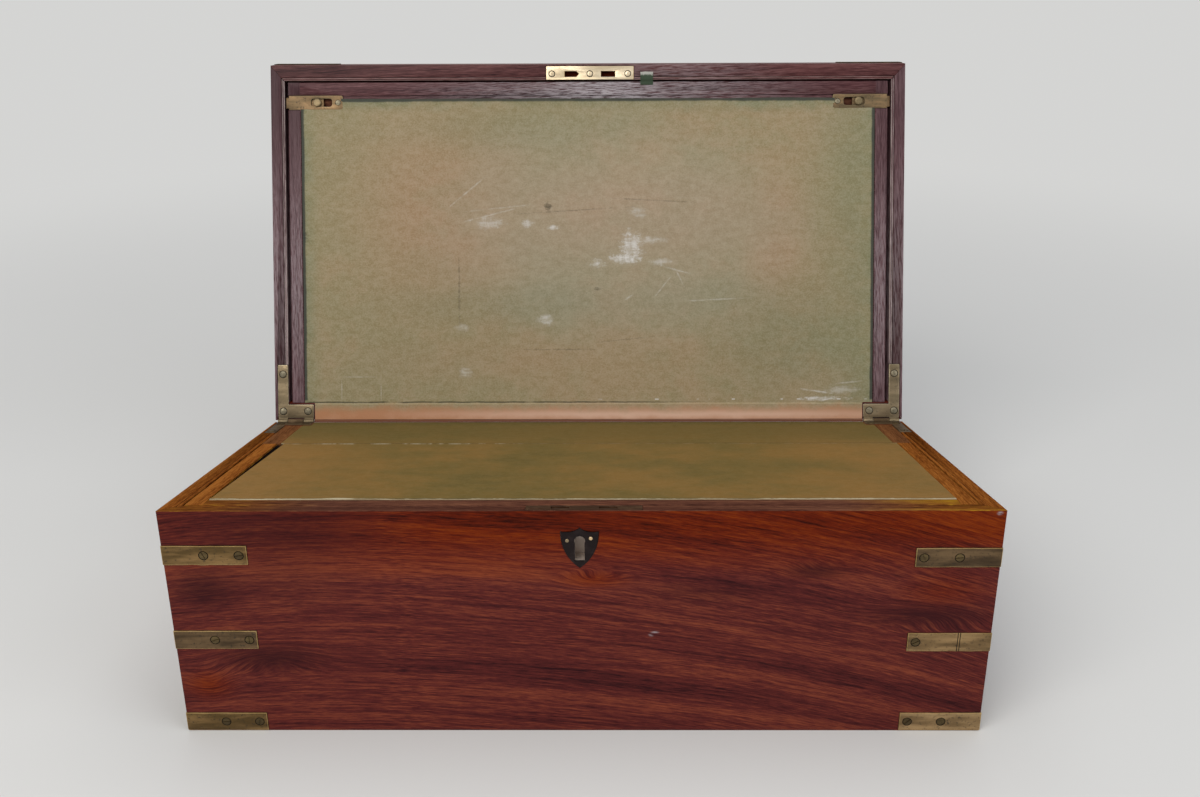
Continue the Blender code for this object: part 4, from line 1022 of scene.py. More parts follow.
    def _soft(self) -> list[Any]:
        """Lists the leathers, with their raw edges and the painted shade of the base's leather bed, and the
        ribbon.

        Returns:
            The finishes.
        """
        return [
            Leather(
                BASE_SLOPE, (0.098, 0.078, 0.022), (0.165, 0.112, 0.031), (0.195, 0.12, 0.032),
                (0.262, 0.14, 0.038), (0.5, 0.45, 0.32), 0.02, 0.35,
            ),
            Leather(
                LID_SLOPE, (0.185, 0.2, 0.098), (0.28, 0.232, 0.112), (0.325, 0.247, 0.125),
                (0.39, 0.235, 0.13), (0.66, 0.64, 0.61), 0.2, 0.75, self.SCUFFS,
            ),
            # Near black bed of the base's leather: painted shade where it shows beside the leather
            Iron("glue_line", (0.007, 0.005, 0.004), (0.018, 0.012, 0.009), 0.0, 0.85, 0.0),
            Iron("base_raw_edge", (0.36, 0.28, 0.16), (0.5, 0.42, 0.27), 0.0, 0.75),
            Iron("lid_raw_edge", (0.03, 0.036, 0.03), (0.06, 0.066, 0.05), 0.0, 0.75),
            Cloth(),
        ]


FINISHES = Finishes()


class Pick(Enum):
    """What is selected in edit mode."""

    EDGES = "EDGE"
    FACES = "FACE"


class Bench:
    """Modelling steps by operator, each on one piece with nothing else selected."""

    SMOOTH_ANGLE = math.radians(35)
    FLAT_ANGLE = math.radians(0.5)
    MERGED = 0.000002

    @staticmethod
    def clear() -> None:
        """Leaves nothing selected, in object mode."""
        active = bpy.context.view_layer.objects.active
        if active is not None and active.mode != "OBJECT":
            bpy.ops.object.mode_set(mode="OBJECT")
        bpy.ops.object.select_all(action="DESELECT")

    @classmethod
    def only(cls, piece: Piece) -> Piece:
        """Selects one piece alone.

        Args:
            piece: The piece.

        Returns:
            The piece.
        """
        cls.clear()
        piece.select_set(True)
        bpy.context.view_layer.objects.active = piece
        return piece

    @classmethod
    def _add(cls, name: str, step: Callable, scale: Iterable[float], **options: Any) -> Piece:
        """Adds a primitive, and puts its place in its mesh.

        Args:
            name: Its name.
            step: The operator that adds it.
            scale: Its size on each axis.
            options: The operator's settings.

        Returns:
            The piece.
        """
        cls.clear()
        step(**options)
        piece = bpy.context.object
        piece.name, piece.scale = name, scale
        bpy.ops.object.transform_apply(location=True, rotation=True, scale=True)
        return piece

    @classmethod
    def block(cls, name: str, low: tuple, high: tuple) -> Piece:
        """Adds a block between two corners."""
        size, middle = Vector(high) - Vector(low), (Vector(low) + Vector(high)) / 2
        return cls._add(name, bpy.ops.mesh.primitive_cube_add, size, size=1, location=middle)

    @classmethod
    def round(
        cls, name: str, radius: float, low: float, high: float, sides: int, along_x: bool = False
    ) -> Piece:
        """Adds a round bar.

        Args:
            name: Its name.
            radius: Its radius.
            low: Where it starts.
            high: Where it ends.
            sides: Number of flats that stand for its round.
            along_x: Whether it lies along x, and not along z.

        Returns:
            The bar.
        """
        middle = (low + high) / 2
        return cls._add(
            name, bpy.ops.mesh.primitive_cylinder_add, (1, 1, 1),
            vertices=sides, radius=radius, depth=high - low,
            location=(middle, 0, 0) if along_x else (0, 0, middle),
            rotation=(0, QUARTER, 0) if along_x else (0, 0, 0),
        )

    @classmethod
    def plane(cls, name: str, left: float, right: float, near: float, far: float) -> Piece:
        """Adds a level sheet, whose distances run towards minus y."""
        size, middle = (right - left, far - near, 1), ((left + right) / 2, -(near + far) / 2, 0)
        return cls._add(name, bpy.ops.mesh.primitive_plane_add, size, size=1, location=middle)

    @classmethod
    def copy(cls, source: Piece, name: str) -> Piece:
        """A copy with its own mesh, at the origin.

        Args:
            source: What is copied.
            name: The copy's name.

        Returns:
            The copy.
        """
        piece = bpy.data.objects.new(name, source.data.copy())
        bpy.context.scene.collection.objects.link(piece)
        return cls.only(piece)

    @classmethod
    def _choose(cls, piece: Piece, pick: Pick, test: Test) -> int:
        """Selects parts of a piece in edit mode.

        Args:
            piece: The piece.
            pick: What kind of part.
            test: Says whether one part is wanted.

        Returns:
            How many were selected.
        """
        cls.only(piece)
        bpy.ops.object.mode_set(mode="EDIT")
        bpy.ops.mesh.select_mode(type=pick.value)
        bpy.ops.mesh.select_all(action="DESELECT")
        form = bmesh.from_edit_mesh(piece.data)
        form.normal_update()
        parts = form.edges if pick is Pick.EDGES else form.faces
        wanted = [part for part in parts if test(part)]
        for part in wanted:
            part.select_set(True)
        form.select_flush_mode()
        bmesh.update_edit_mesh(piece.data)
        return len(wanted)

    @classmethod
    def _edit(cls, piece: Piece, pick: Pick, test: Test, step: Callable, **options: Any) -> None:
        """Runs an operator on chosen parts of a piece, if it has such parts.

        Args:
            piece: The piece.
            pick: What kind of part.
            test: Says whether one part is wanted.
            step: The operator.
            options: Its settings.
        """
        if cls._choose(piece, pick, test):
            step(**options)
        bpy.ops.object.mode_set(mode="OBJECT")

    @classmethod
    def extrude(cls, piece: Piece, test: Test, move: tuple[float, float, float]) -> None:
        """Draws chosen faces out."""
        step = bpy.ops.mesh.extrude_region_move
        cls._edit(piece, Pick.FACES, test, step, TRANSFORM_OT_translate={"value": move})

    @classmethod
    def bevel(
        cls, piece: Piece, test: Test, width: float, segments: int = 2, paint: int = -1
    ) -> None:
        """Eases chosen edges.

        Args:
            piece: The piece.
            test: Says whether an edge is eased.
            width: How wide the easing is.
            segments: How many faces it has.
            paint: The slot of those faces, or -1 for that of their neighbours.
        """
        cls._edit(
            piece, Pick.EDGES, test, bpy.ops.mesh.bevel, offset=width, segments=segments,
            affect="EDGES", clamp_overlap=True, material=paint,
        )

    @classmethod
    def paint(cls, piece: Piece, test: Test, slot: int) -> None:
        """Gives chosen faces a slot."""
        piece.active_material_index = slot
        cls._edit(piece, Pick.FACES, test, bpy.ops.object.material_slot_assign)

    @classmethod
    def remove(cls, piece: Piece, test: Test) -> None:
        """Takes chosen faces away."""
        cls._edit(piece, Pick.FACES, test, bpy.ops.mesh.delete, type="FACE")

    @classmethod
    def slice(cls, piece: Piece, axis: int, places: Iterable[float]) -> None:
        """Adds lines of edges across a piece.

        Args:
            piece: The piece.
            axis: The axis that they stand across.
            places: Where on that axis they are.
        """
        normal = Matrix.Identity(3)[axis]
        cls.only(piece)
        bpy.ops.object.mode_set(mode="EDIT")
        for place in places:
            bpy.ops.mesh.select_all(action="SELECT")
            bpy.ops.mesh.bisect(plane_co=normal * place, plane_no=normal)
        bpy.ops.object.mode_set(mode="OBJECT")

    @classmethod
    def cut(cls, piece: Piece, cutter: Piece, slot: int = BODY) -> None:
        """Takes a cutter's shape out of a piece, and deletes the cutter.

        Args:
            piece: The piece.
            cutter: The cutter.
            slot: The slot of the new faces.
        """
        for finish in piece.data.materials:
            cutter.data.materials.append(finish)
        for face in cutter.data.polygons:
            face.material_index = slot
        cls._modify(piece, "BOOLEAN", operation="DIFFERENCE", solver="EXACT", object=cutter)
        cls.discard(cutter)

    @classmethod
    def thicken(cls, piece: Piece, thickness: float, rim: int = BODY) -> None:
        """Gives a sheet its thickness, below its face; rim is the slot of its cut edge."""
        cls._modify(piece, "SOLIDIFY", thickness=thickness, offset=-1.0, material_offset_rim=rim)

    @classmethod
    def join(cls, first: Piece, others: Iterable[Piece]) -> Piece:
        """Makes several pieces one.

        Args:
            first: The piece that stays.
            others: The pieces that go into it.

        Returns:
            The first piece.
        """
        cls.only(first)
        for other in others:
            other.select_set(True)
        bpy.ops.object.join()
        return first

    @classmethod
    def put(cls, piece: Piece, matrix: Matrix) -> Piece:
        """Moves a piece, with its place kept in its mesh and its faces outwards.

        Args:
            piece: The piece.
            matrix: Where it goes.

        Returns:
            The piece.
        """
        cls.only(piece)
        piece.matrix_world = matrix
        bpy.ops.object.transform_apply(location=True, rotation=True, scale=True)
        if matrix.determinant() < 0:
            bpy.ops.object.mode_set(mode="EDIT")
            bpy.ops.mesh.select_all(action="SELECT")
            bpy.ops.mesh.normals_make_consistent(inside=False)
            bpy.ops.object.mode_set(mode="OBJECT")
        return piece

    @classmethod
    def _modify(cls, piece: Piece, kind: str, **settings: Any) -> None:
        """Adds a modifier to a piece, and applies it.

        Args:
            piece: The piece.
            kind: The modifier's type.
            settings: What is set on it.
        """
        step = piece.modifiers.new(kind, kind)
        for name, value in settings.items():
            setattr(step, name, value)
        cls.only(piece)
        bpy.ops.object.modifier_apply(modifier=step.name)

    @classmethod
    def dress(cls, piece: Piece, *finishes: str) -> Piece:
        """Gives a piece that is just begun its finishes.

        Args:
            piece: The piece.
            finishes: The finish of each slot.

        Returns:
            The piece.
        """
        piece.data.materials.clear()
        for name in finishes:
            piece.data.materials.append(FINISHES[name])
        for face in piece.data.polygons:
            face.material_index = BODY
        return piece

    @classmethod
    def smooth(cls, piece: Piece) -> None:
        """Smooths a finished piece's round faces."""
        cls.only(piece)
        bpy.ops.object.shade_smooth_by_angle(angle=cls.SMOOTH_ANGLE)

    @classmethod
    def discard(cls, *patterns: Piece) -> None:
        """Deletes patterns that have been copied.

        Args:
            patterns: The patterns.
        """
        for pattern in patterns:
            cls.only(pattern)
            bpy.ops.object.delete()

    @classmethod
    def merged(cls, node: str, name: str, *finishes: str) -> Piece:
        """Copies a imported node, with its triangles merged into whole faces.

        Args:
            node: The node.
            name: The copy's name.
            finishes: The finish of each slot.

        Returns:
            The copy.
        """
        piece = cls.copy(frame["nodes"][node], name)
        bpy.ops.object.mode_set(mode="EDIT")
        bpy.ops.mesh.select_all(action="SELECT")
        bpy.ops.mesh.remove_doubles(threshold=cls.MERGED)
        bpy.ops.mesh.dissolve_limited(angle_limit=cls.FLAT_ANGLE)
        bpy.ops.object.mode_set(mode="OBJECT")
        return cls.dress(piece, *finishes)


def body_of(node: str) -> str:
    """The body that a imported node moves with."""
    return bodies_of(frame["nodes"][node])[0]


def stand_for(piece: Piece, node: str) -> None:
    """Finishes a piece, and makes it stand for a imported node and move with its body.

    Args:
        piece: The piece.
        node: The node.
    """
    Bench.smooth(piece)
    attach(piece, body_of(node))
    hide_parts(node)
    LOG.info("%s stands for %s", piece.name, node)


@dataclass
class Screw:
    """A brass screw head in a sunk ring painted dark as shade, modelled at the origin with its top upwards.
    """

    radius: float = 0.0026
    proud: float = 0.00012
    depth: float = 0.0006
    eased: float = 0.00022
    slot_width: float = 0.0007
    slot_depth: float = 0.00045
    # Share of the head's radius
    punched: float = 0.3
    ring: float = 0.0005
    seat: float = 0.0005
    seat_reach: float = 0.002
    sides: int = 24
    punched_sides: int = 10

    def build(self, name: str, finish: str = "screw_brass", slotted: bool = True) -> Piece:
        """Models the head.

        Args:
            name: The head's name.
            finish: Its finish.
            slotted: Whether it has a slot, or a punched middle.

        Returns:
            The head.
        """
        head = Bench.round(name, self.radius, -self.depth, self.proud, self.sides)
        Bench.dress(head, finish)
        Bench.bevel(head, edges_above(0), self.eased)
        floor = self.proud - self.slot_depth
        if slotted:
            half, reach = self.slot_width / 2, 2 * self.radius
            cutter = Bench.block("slot", (-reach, -half, floor), (reach, half, 1))
        else:
            radius = self.radius * self.punched
            cutter = Bench.round("punch", radius, floor, CLEAR, self.punched_sides)
        Bench.cut(head, cutter)
        return head

    @staticmethod
    def _lay(place: Vector, direction: Vector, turn: float) -> Matrix:
        """Takes a head from the origin to its place."""
        lean = UP.rotation_difference(direction).to_matrix().to_4x4()
        return Matrix.Translation(place) @ lean @ Matrix.Rotation(turn, 4, "Z")

    def seats(self, plate: Piece, spots: list[Spot]) -> None:
        """Sinks a ring for each screw into a plate, its walls painted dark as shade.

        Args:
            plate: The plate, whose detail slot the ring takes.
            spots: Place, direction and turn of each.
        """
        for number, spot in enumerate(spots):
            reach = self.radius + self.ring
            cutter = Bench.round(f"seat_{number}", reach, -self.seat, self.seat_reach, self.sides)
            Bench.cut(plate, Bench.put(cutter, self._lay(*spot)), DETAIL)

    @classmethod
    def drive(cls, plate: Piece, head: Piece, spots: list[Spot]) -> None:
        """Sets copies of a head in a plate.

        Args:
            plate: The plate.
            head: The head, which stays as it is.
            spots: Place, direction and turn of each.
        """
        made = []
        for number, spot in enumerate(spots):
            copied = Bench.copy(head, f"{plate.name}_screw_{number}")
            made.append(Bench.put(copied, cls._lay(*spot)))
        Bench.join(plate, made)

    def fasten(self, plate: Piece, spots: list[Spot], finish: str, slotted: bool = True) -> None:
        """Sinks the seats in a plate, and drives a screw into each.

        Args:
            plate: The plate.
            spots: Place, direction and turn of each.
            finish: The screws' finish.
            slotted: Whether they have a slot, or a punched middle.
        """
        self.seats(plate, spots)
        head = self.build("plate_screw", finish, slotted)
        self.drive(plate, head, spots)
        Bench.discard(head)


@dataclass(frozen=True)
class Board:
    """A wooden piece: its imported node, and the finishes of its parts.

    A flap's sides are its side margins, and the front board's are its keyhole.
    """

    node: str
    finish: str
    rim: str = ""
    slot: str = "case_wood"
    sides: str = ""
    floor: str = ""
    edge: str = ""

    @property
    def finishes(self) -> list[str]:
        """The finish of each slot of its mesh."""
        chosen = (self.rim, self.sides, self.floor, self.edge or self.rim)
        return [self.finish, *(name or self.finish for name in chosen), "flap_under_wood"]


@dataclass
class Carcass:
    """All the wooden pieces, with their long edges eased and given their edge finish, a painted highlight on
    the lid linings' beads.
    """

    ease: float = 0.0006
    shortest: float = 0.06
    bluntest: float = math.radians(35)
    sharpest: float = math.radians(110)
    margin: float = 0.2309
    # Heights below which a face is a leather's bed or the floor of a catch's hollow
    bed: float = -0.0011
    lid_bed: float = -0.0020
    hollow: float = -0.0036
    keyhole: tuple = ((-0.0049, 0.0035), (-0.1384, -0.130), (0.1245, 0.1428))

    @staticmethod
    def boards() -> list[Board]:
        """Lists the wooden pieces.

        Returns:
            The pieces.
        """
        # The base's leather bed is painted near black as shade
        flap, shaded_bed = {"slot": "flap_wood"}, {"floor": "glue_line"}
        listed = [
            Board("base_front_board", "front_rosewood", "rim_wood_long", sides="lock_steel"),
            Board("base_back_board", "back_rosewood"),
            Board("base_left_board", "left_rosewood", "rim_wood_side"),
            Board("base_right_board", "right_rosewood", "rim_wood_side"),
            Board("base_bottom_board", "back_rosewood"),
            Board("base_hinge_rail", "hinge_rail_side", **flap, sides="hinge_rail_side", **shaded_bed),
            Board("base_flap_board", "base_flap_wood", **flap, sides="flap_side_wood", **shaded_bed),
            Board("lid_front_board", "lid_rosewood", "lid_rim_long"),
            Board("lid_back_board", "lid_rosewood", "lid_rim_long"),
            Board("lid_left_board", "lid_side_rosewood", "lid_rim_side"),
            Board("lid_right_board", "lid_side_rosewood", "lid_rim_side"),
            Board("lid_top_board", "lid_top_rosewood"),
            Board(
                "lid_flap_board", "lid_flap_wood", **flap,
                sides="lid_flap_side_wood", floor="lid_flap_wood",
            ),
            Board("base_front_lining", "rim_wood_long", slot="inner_wood"),
            # The lid linings' eased beads take pale finishes: painted highlights
            Board("lid_front_lining", "lid_rim_long", slot="inner_wood", edge="bead_plum"),
        ]
        for _, side in SIDES:
            listed += [
                Board(f"base_{side}_lining", "rim_wood_side", slot="inner_wood"),
                Board(f"lid_{side}_lining", "lid_rim_side", slot="inner_wood", edge="bead_wood"),
                Board(f"well_divider_{side}", "inner_wood", slot="inner_wood"),
            ]
        for node in ("ink_shelf", "ink_partition", "pen_tray"):
            listed.append(Board(node, "inner_wood", slot="inner_wood"))
        return listed

    def build(self) -> None:
        """Makes every wooden piece."""
        for board in self.boards():
            piece = Bench.merged(board.node, f"{board.node}_wood", *board.finishes)
            self._paint(piece, board)
            Bench.bevel(piece, self._long_edge, self.ease, 3, EDGE)
            stand_for(piece, board.node)

    def _long_edge(self, edge: Edge) -> bool:
        """Whether an edge is a long outer one.

        Args:
            edge: An edge of a board.

        Returns:
            Whether it is eased.
        """
        if len(edge.link_faces) != 2 or edge.calc_length() < self.shortest:
            return False
        return self.bluntest < edge.calc_face_angle_signed() < self.sharpest

    def _paint(self, piece: Piece, board: Board) -> None:
        """Gives a piece's rim, margins, leather's bed, underside and keyhole their finishes.

        Args:
            piece: The piece.
            board: What it is made of.
        """
        slope = LID_SLOPE if board.node.startswith("lid") else BASE_SLOPE
        upwards = faces_towards(slope.upwards)
        if board.rim:
            Bench.paint(piece, upwards, WORN)
        if board.floor:
            Bench.slice(piece, X, (-self.margin, self.margin))
            Bench.paint(piece, both(upwards, self._in_margin), DETAIL)
            bed = self.bed if slope is BASE_SLOPE else self.lid_bed
            # On the base the bed's finish is near black: painted shade beside the leather
            Bench.paint(piece, both(upwards, self._sunk(slope, bed)), FLOOR)
            Bench.paint(piece, faces_towards(-slope.upwards), HOLLOW)
            Bench.paint(piece, both(upwards, self._sunk(slope, self.hollow)), HOLLOW)
        if board.node == "base_front_board":
            Bench.paint(piece, self._in_keyhole, DETAIL)

    @staticmethod
    def _sunk(slope: Slope, height: float) -> Test:
        """A test for faces below a height on a slope."""
        flat = slope.matrix.inverted()
        return lambda face: (flat @ face.calc_center_median()).z < height

    def _in_margin(self, face: Face) -> bool:
        """Whether a face is on a flap's side margin."""
        return abs(face.calc_center_median().x) > self.margin

    def _in_keyhole(self, face: Face) -> bool:
        """Whether a face of the front board lines the keyhole."""
        middle = face.calc_center_median()
        return all(low < part < high for part, (low, high) in zip(middle, self.keyhole))


@dataclass
class CornerStraps:
    """Brass straps let into the upright corners, each with four screws."""

    length: float = 0.0515
    width: float = 0.0131
    thickness: float = 0.0016
    proud: float = 0.0005
    eased: float = 0.00035
    steps: int = 9
    screws: tuple = (0.025, 0.0465)
    # How the screws' turns change along the side and along the front
    twists: tuple = (40, 60)
    scores: tuple = (0.0188, 0.0202)
    score_width: float = 0.0005
    score_depth: float = 0.0003
    scored: str = "base_strap_front_right_middle"
    tones: tuple = (
        ("base_strap_front_right_low", "spotted_brass"),
        ("base_strap_front_right_middle", "warm_brass"),
        ("base_strap_front_right_top", "dim_brass"),
        ("base_strap_front_left_middle", "dim_brass"),
    )
    wavy: tuple = ("base_strap_front_left_top", "base_strap_front_right_middle")
    bent: float = 2.4
    ragged: float = 0.00022
    dents: float = 150
    apart: float = 7.3
    low: float = 0.00725
    top: float = 0.1292
    middle_rise: float = 0.0007
    right_drop: float = 0.0018
    back_top: float = 0.0685
    lid_back_low: float = 0.1285
    lid_top: float = 0.18075

    def band(self, scored: bool = False) -> Piece:
        """Models one band round a corner at the origin, its legs along x and y.

        Args:
            scored: Whether it is scored across.

        Returns:
            The band.
        """
        half = self.width / 2
        inner = self.thickness - self.proud
        band = Bench.block("band", (-self.proud, -self.proud, -half), (inner, inner, half))
        Bench.dress(band, "strap_brass", "strap_edge", "recess_painted_shade")
        reach = self.length - inner
        Bench.extrude(band, faces_towards(Vector((1, 0, 0))), (reach, 0, 0))
        at_corner = both(
            faces_towards(Vector((0, 1, 0))), lambda face: face.calc_center_median().x < inner
        )
        Bench.extrude(band, at_corner, (0, reach, 0))
        for axis in (X, Y):
            Bench.slice(band, axis, spread(inner, reach, self.steps))
        Screw().seats(band, self._spots(0.0, scored))
        for place in self.scores if scored else ():
            low = (place, -CLEAR, -CLEAR)
            high = (place + self.score_width, self.score_depth - self.proud, CLEAR)
            # The score's walls take the dark detail slot: painted shade
            Bench.cut(band, Bench.block("score", low, high), DETAIL)
        return band

    def _spots(self, turn: float, scored: bool) -> list[Spot]:
        """Places a band's screws; the scored band has one less in front.

        Args:
            turn: How far the screws are turned.
            scored: Whether the band is scored across.

        Returns:
            Place, direction and turn of each.
        """
        side, front = self.twists
        spots = []
        for reach in self.screws:
            spots.append((Vector((-self.proud, reach, 0)), Vector((-1, 0, 0)), turn + reach * side))
        for reach in self.screws[1:] if scored else self.screws:
            spots.append((Vector((reach, -self.proud, 0)), Vector((0, -1, 0)), turn + reach * front))
        return spots

    def _outer_edge(self, edge: Edge) -> bool:
        """Whether an edge bounds the outer face.

        Args:
            edge: An edge of a band.

        Returns:
            Whether it does, and is neither at a screw nor at a score.
        """
        middle, near = middle_of(edge), 0.0002
        on_leg = near < max(middle.x, middle.y) < self.length - near
        if on_leg and abs(middle.z) < self.width * 0.38:
            return False
        outer = all(min(point.co.x, point.co.y) < TOUCH - self.proud for point in edge.verts)
        return outer and len(edge.link_faces) == 2 and edge.calc_face_angle() > RIM_TURN

    def build(self) -> None:
        """Makes every strap."""
        plain, scored = self.band(), self.band(scored=True)
        head = Screw().build("strap_screw")
        middle = (self.low + self.top) / 2 + self.middle_rise
        number = 0
        for sx, side in SIDES:
            drop = self.right_drop if sx > 0 else 0.0
            straps = (
                (f"base_strap_front_{side}_low", -1, self.low),
                (f"base_strap_back_{side}_low", 1, self.low),
                (f"base_strap_front_{side}_middle", -1, middle - drop),
                (f"base_strap_front_{side}_top", -1, self.top - drop),
                (f"base_strap_back_{side}_top", 1, self.back_top),
                (f"lid_strap_front_{side}", -1, self.lid_top),
                (f"lid_strap_back_{side}_top", 1, self.lid_top),
                (f"lid_strap_back_{side}_low", 1, self.lid_back_low),
            )
            for node, sy, height in straps:
                number += 1
                home = BOX.raised if node.startswith("lid") else Matrix.Identity(4)
                corner = Matrix.Translation((sx * BOX.half_width, sy * BOX.half_depth, height))
                place = home @ corner @ Matrix.Diagonal((-sx, -sy, 1, 1))
                self._strap(node, scored if node == self.scored else plain, head, place, number)
        Bench.discard(plain, scored, head)

    def _strap(self, node: str, band: Piece, head: Piece, matrix: Matrix, number: int) -> None:
        """Makes one strap from the pattern band.

        Args:
            node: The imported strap.
            band: The pattern.
            head: The pattern of its screws.
            matrix: Where the strap's corner is.
            number: Sets its own small dents and screw turns.
        """
        piece = Bench.copy(band, f"{node}_brass")
        for point in piece.data.vertices:
            x, y, z = point.co
            if abs(z) > self.width * 0.4:
                own = number * self.apart + math.copysign(3, z)
                bent = self.bent if node in self.wavy and z < 0 else 1.0
                dent = noise.noise(Vector((x * self.dents, y * self.dents, own)))
                point.co.z += dent * self.ragged * bent
        finishes = piece.data.materials
        if node.startswith("lid_strap_front"):
            finishes[BODY] = finishes[WORN] = FINISHES["tarnished_brass"]
        for strap, finish in self.tones:
            if node == strap:
                finishes[BODY] = FINISHES[finish]
        Bench.bevel(piece, self._outer_edge, self.eased, 2, WORN)
        Screw.drive(piece, head, self._spots(number * 1.7, node == self.scored))
        stand_for(Bench.put(piece, matrix), node)


@dataclass
class Hinges:
    """L-shaped leaves let into the rims, with their knuckles and pins."""

    outer: float = 0.2516
    start: float = 0.0028
    side_width: float = 0.0084
    side_length: float = 0.043
    back_width: float = 0.0108
    back_length: float = 0.0289
    thickness: float = 0.0016
    rounding: float = 0.0008
    eased: float = 0.00028
    far_screw: float = 0.0383
    end_screw: float = 0.0048
    turns: tuple = ((0.1, 0.8, 2.2), (1.2, 2.5, 0.4))
    knuckle: float = 0.002
    end_knuckle: float = 0.008
    knuckle_ease: float = 0.0003
    fit: float = 0.0003
    tongue_inset: float = 0.0002
    tongue_lap: float = 0.0004
    tongue_start: float = 0.0011
    tongue_low: float = -0.0017
    tongue_top: float = -0.00045
    pin: float = 0.0009
    pin_ease: float = 0.00025
    sides: tuple = (28, 20)

    @staticmethod
    def finish(slope: Slope) -> str:
        """The base's leaves are duller than the lid's."""
        return "base_leaf_brass" if slope is BASE_SLOPE else "hinge_brass"

    def leaf(self, slope: Slope) -> Piece:
        """Models the right-hand leaf of a slope, flat at the origin's height.

        Args:
            slope: The slope.

        Returns:
            The leaf.
        """
        top, width = -BOX.half_gap, -(self.start + self.back_width)
        low = (self.outer - self.side_width, width, top - self.thickness)
        leaf = Bench.block(f"{slope.home}_leaf", low, (self.outer, -self.start, top))
        edge = self.finish(slope) if slope is BASE_SLOPE else "hinge_edge"
        Bench.dress(leaf, self.finish(slope), edge, "recess_painted_shade")
        along = (0, -(self.side_length - self.back_width), 0)
        Bench.extrude(leaf, faces_towards(Vector((0, -1, 0))), along)
        at_back = both(
            faces_towards(Vector((-1, 0, 0))), lambda face: face.calc_center_median().y > width
        )
        Bench.extrude(leaf, at_back, (-(self.back_length - self.side_width), 0, 0))
        Bench.bevel(leaf, both(edges_taller(0.001), self._at_free_end), self.rounding, 3)
        Bench.bevel(leaf, rim_edges(top), self.eased, 2, WORN)
        Screw().seats(leaf, self._spots((0.0, 0.0, 0.0)))
        return leaf

    def _at_free_end(self, edge: Edge) -> bool:
        """Whether an edge is at the end of a leaf's leg.

        Args:
            edge: An edge of a leaf.

        Returns:
            Whether it is.
        """
        middle, near = middle_of(edge), 0.0001
        end = self.outer - self.back_length
        return middle.x < end + near or middle.y < near - (self.start + self.side_length)

    def _spots(self, turns: tuple[float, float, float]) -> list[Spot]:
        """Places the right-hand leaf's screws.

        Args:
            turns: How far each is turned.

        Returns:
            Place, direction and turn of each.
        """
        corner = self.outer - self.side_width / 2
        middle = -(self.start + self.back_width / 2)
        end = self.outer - self.back_length + self.end_screw
        places = ((corner, -self.far_screw), (corner, middle), (end, middle))
        return [(Vector((*place, -BOX.half_gap)), UP, turn) for place, turn in zip(places, turns)]

    def _knuckles(self, slope: Slope) -> list[Piece]:
        """Models the knuckles of the right-hand leaf, each with the tongue to its leaf.

        Args:
            slope: The leaf's slope.

        Returns:
            The knuckles and tongues.
        """
        near, far = self.outer - self.back_length, self.outer
        if slope is BASE_SLOPE:
            spans = [(near + self.end_knuckle + self.fit, far - self.end_knuckle - self.fit)]
        else:
            spans = [(near, near + self.end_knuckle), (far - self.end_knuckle, far)]
        made = []
        for number, (low, high) in enumerate(spans):
            barrel = Bench.round(f"barrel_{number}", self.knuckle, low, high, self.sides[0], True)
            Bench.dress(barrel, self.finish(slope))
            Bench.bevel(barrel, edges_sharper(1.0), self.knuckle_ease)
            tongue = Bench.block(
                f"tongue_{number}",
                (low + self.tongue_inset, -self.start - self.tongue_lap, self.tongue_low),
                (high - self.tongue_inset, -self.tongue_start, self.tongue_top),
            )
            Bench.dress(tongue, self.finish(slope))
            Bench.bevel(tongue, edges_above(self.tongue_top - TOUCH), 0.0002, 1)
            made += [barrel, tongue]
        return made

    def build(self) -> None:
        """Makes the four leaves and the two pins."""
        for slope in (BASE_SLOPE, LID_SLOPE):
            finish = "screw_brass" if slope is BASE_SLOPE else "leaf_screw_brass"
            head = Screw().build("leaf_screw", finish)
            leaf = self.leaf(slope)
            Bench.join(leaf, self._knuckles(slope))
            for (sx, side), turns in zip(SIDES, self.turns):
                node = f"{slope.home}_hinge_leaf_{side}"
                piece = Bench.copy(leaf, f"{node}_brass")
                Screw.drive(piece, head, self._spots(turns))
                Bench.put(piece, slope.matrix @ Matrix.Diagonal((sx, 1, 1, 1)))
                stand_for(piece, node)
            Bench.discard(leaf, head)
        start = self.outer - self.back_length
        for sx, side in SIDES:
            node = f"hinge_pin_{side}"
            rod = Bench.round(f"{node}_brass", self.pin, start, self.outer, self.sides[1], True)
            Bench.dress(rod, "hinge_brass", "hinge_brass")
            Bench.bevel(rod, edges_sharper(1.0), self.pin_ease, 2, WORN)
            Bench.put(rod, Matrix.Translation(BOX.axis) @ Matrix.Diagonal((sx, 1, 1, 1)))
            stand_for(rod, node)


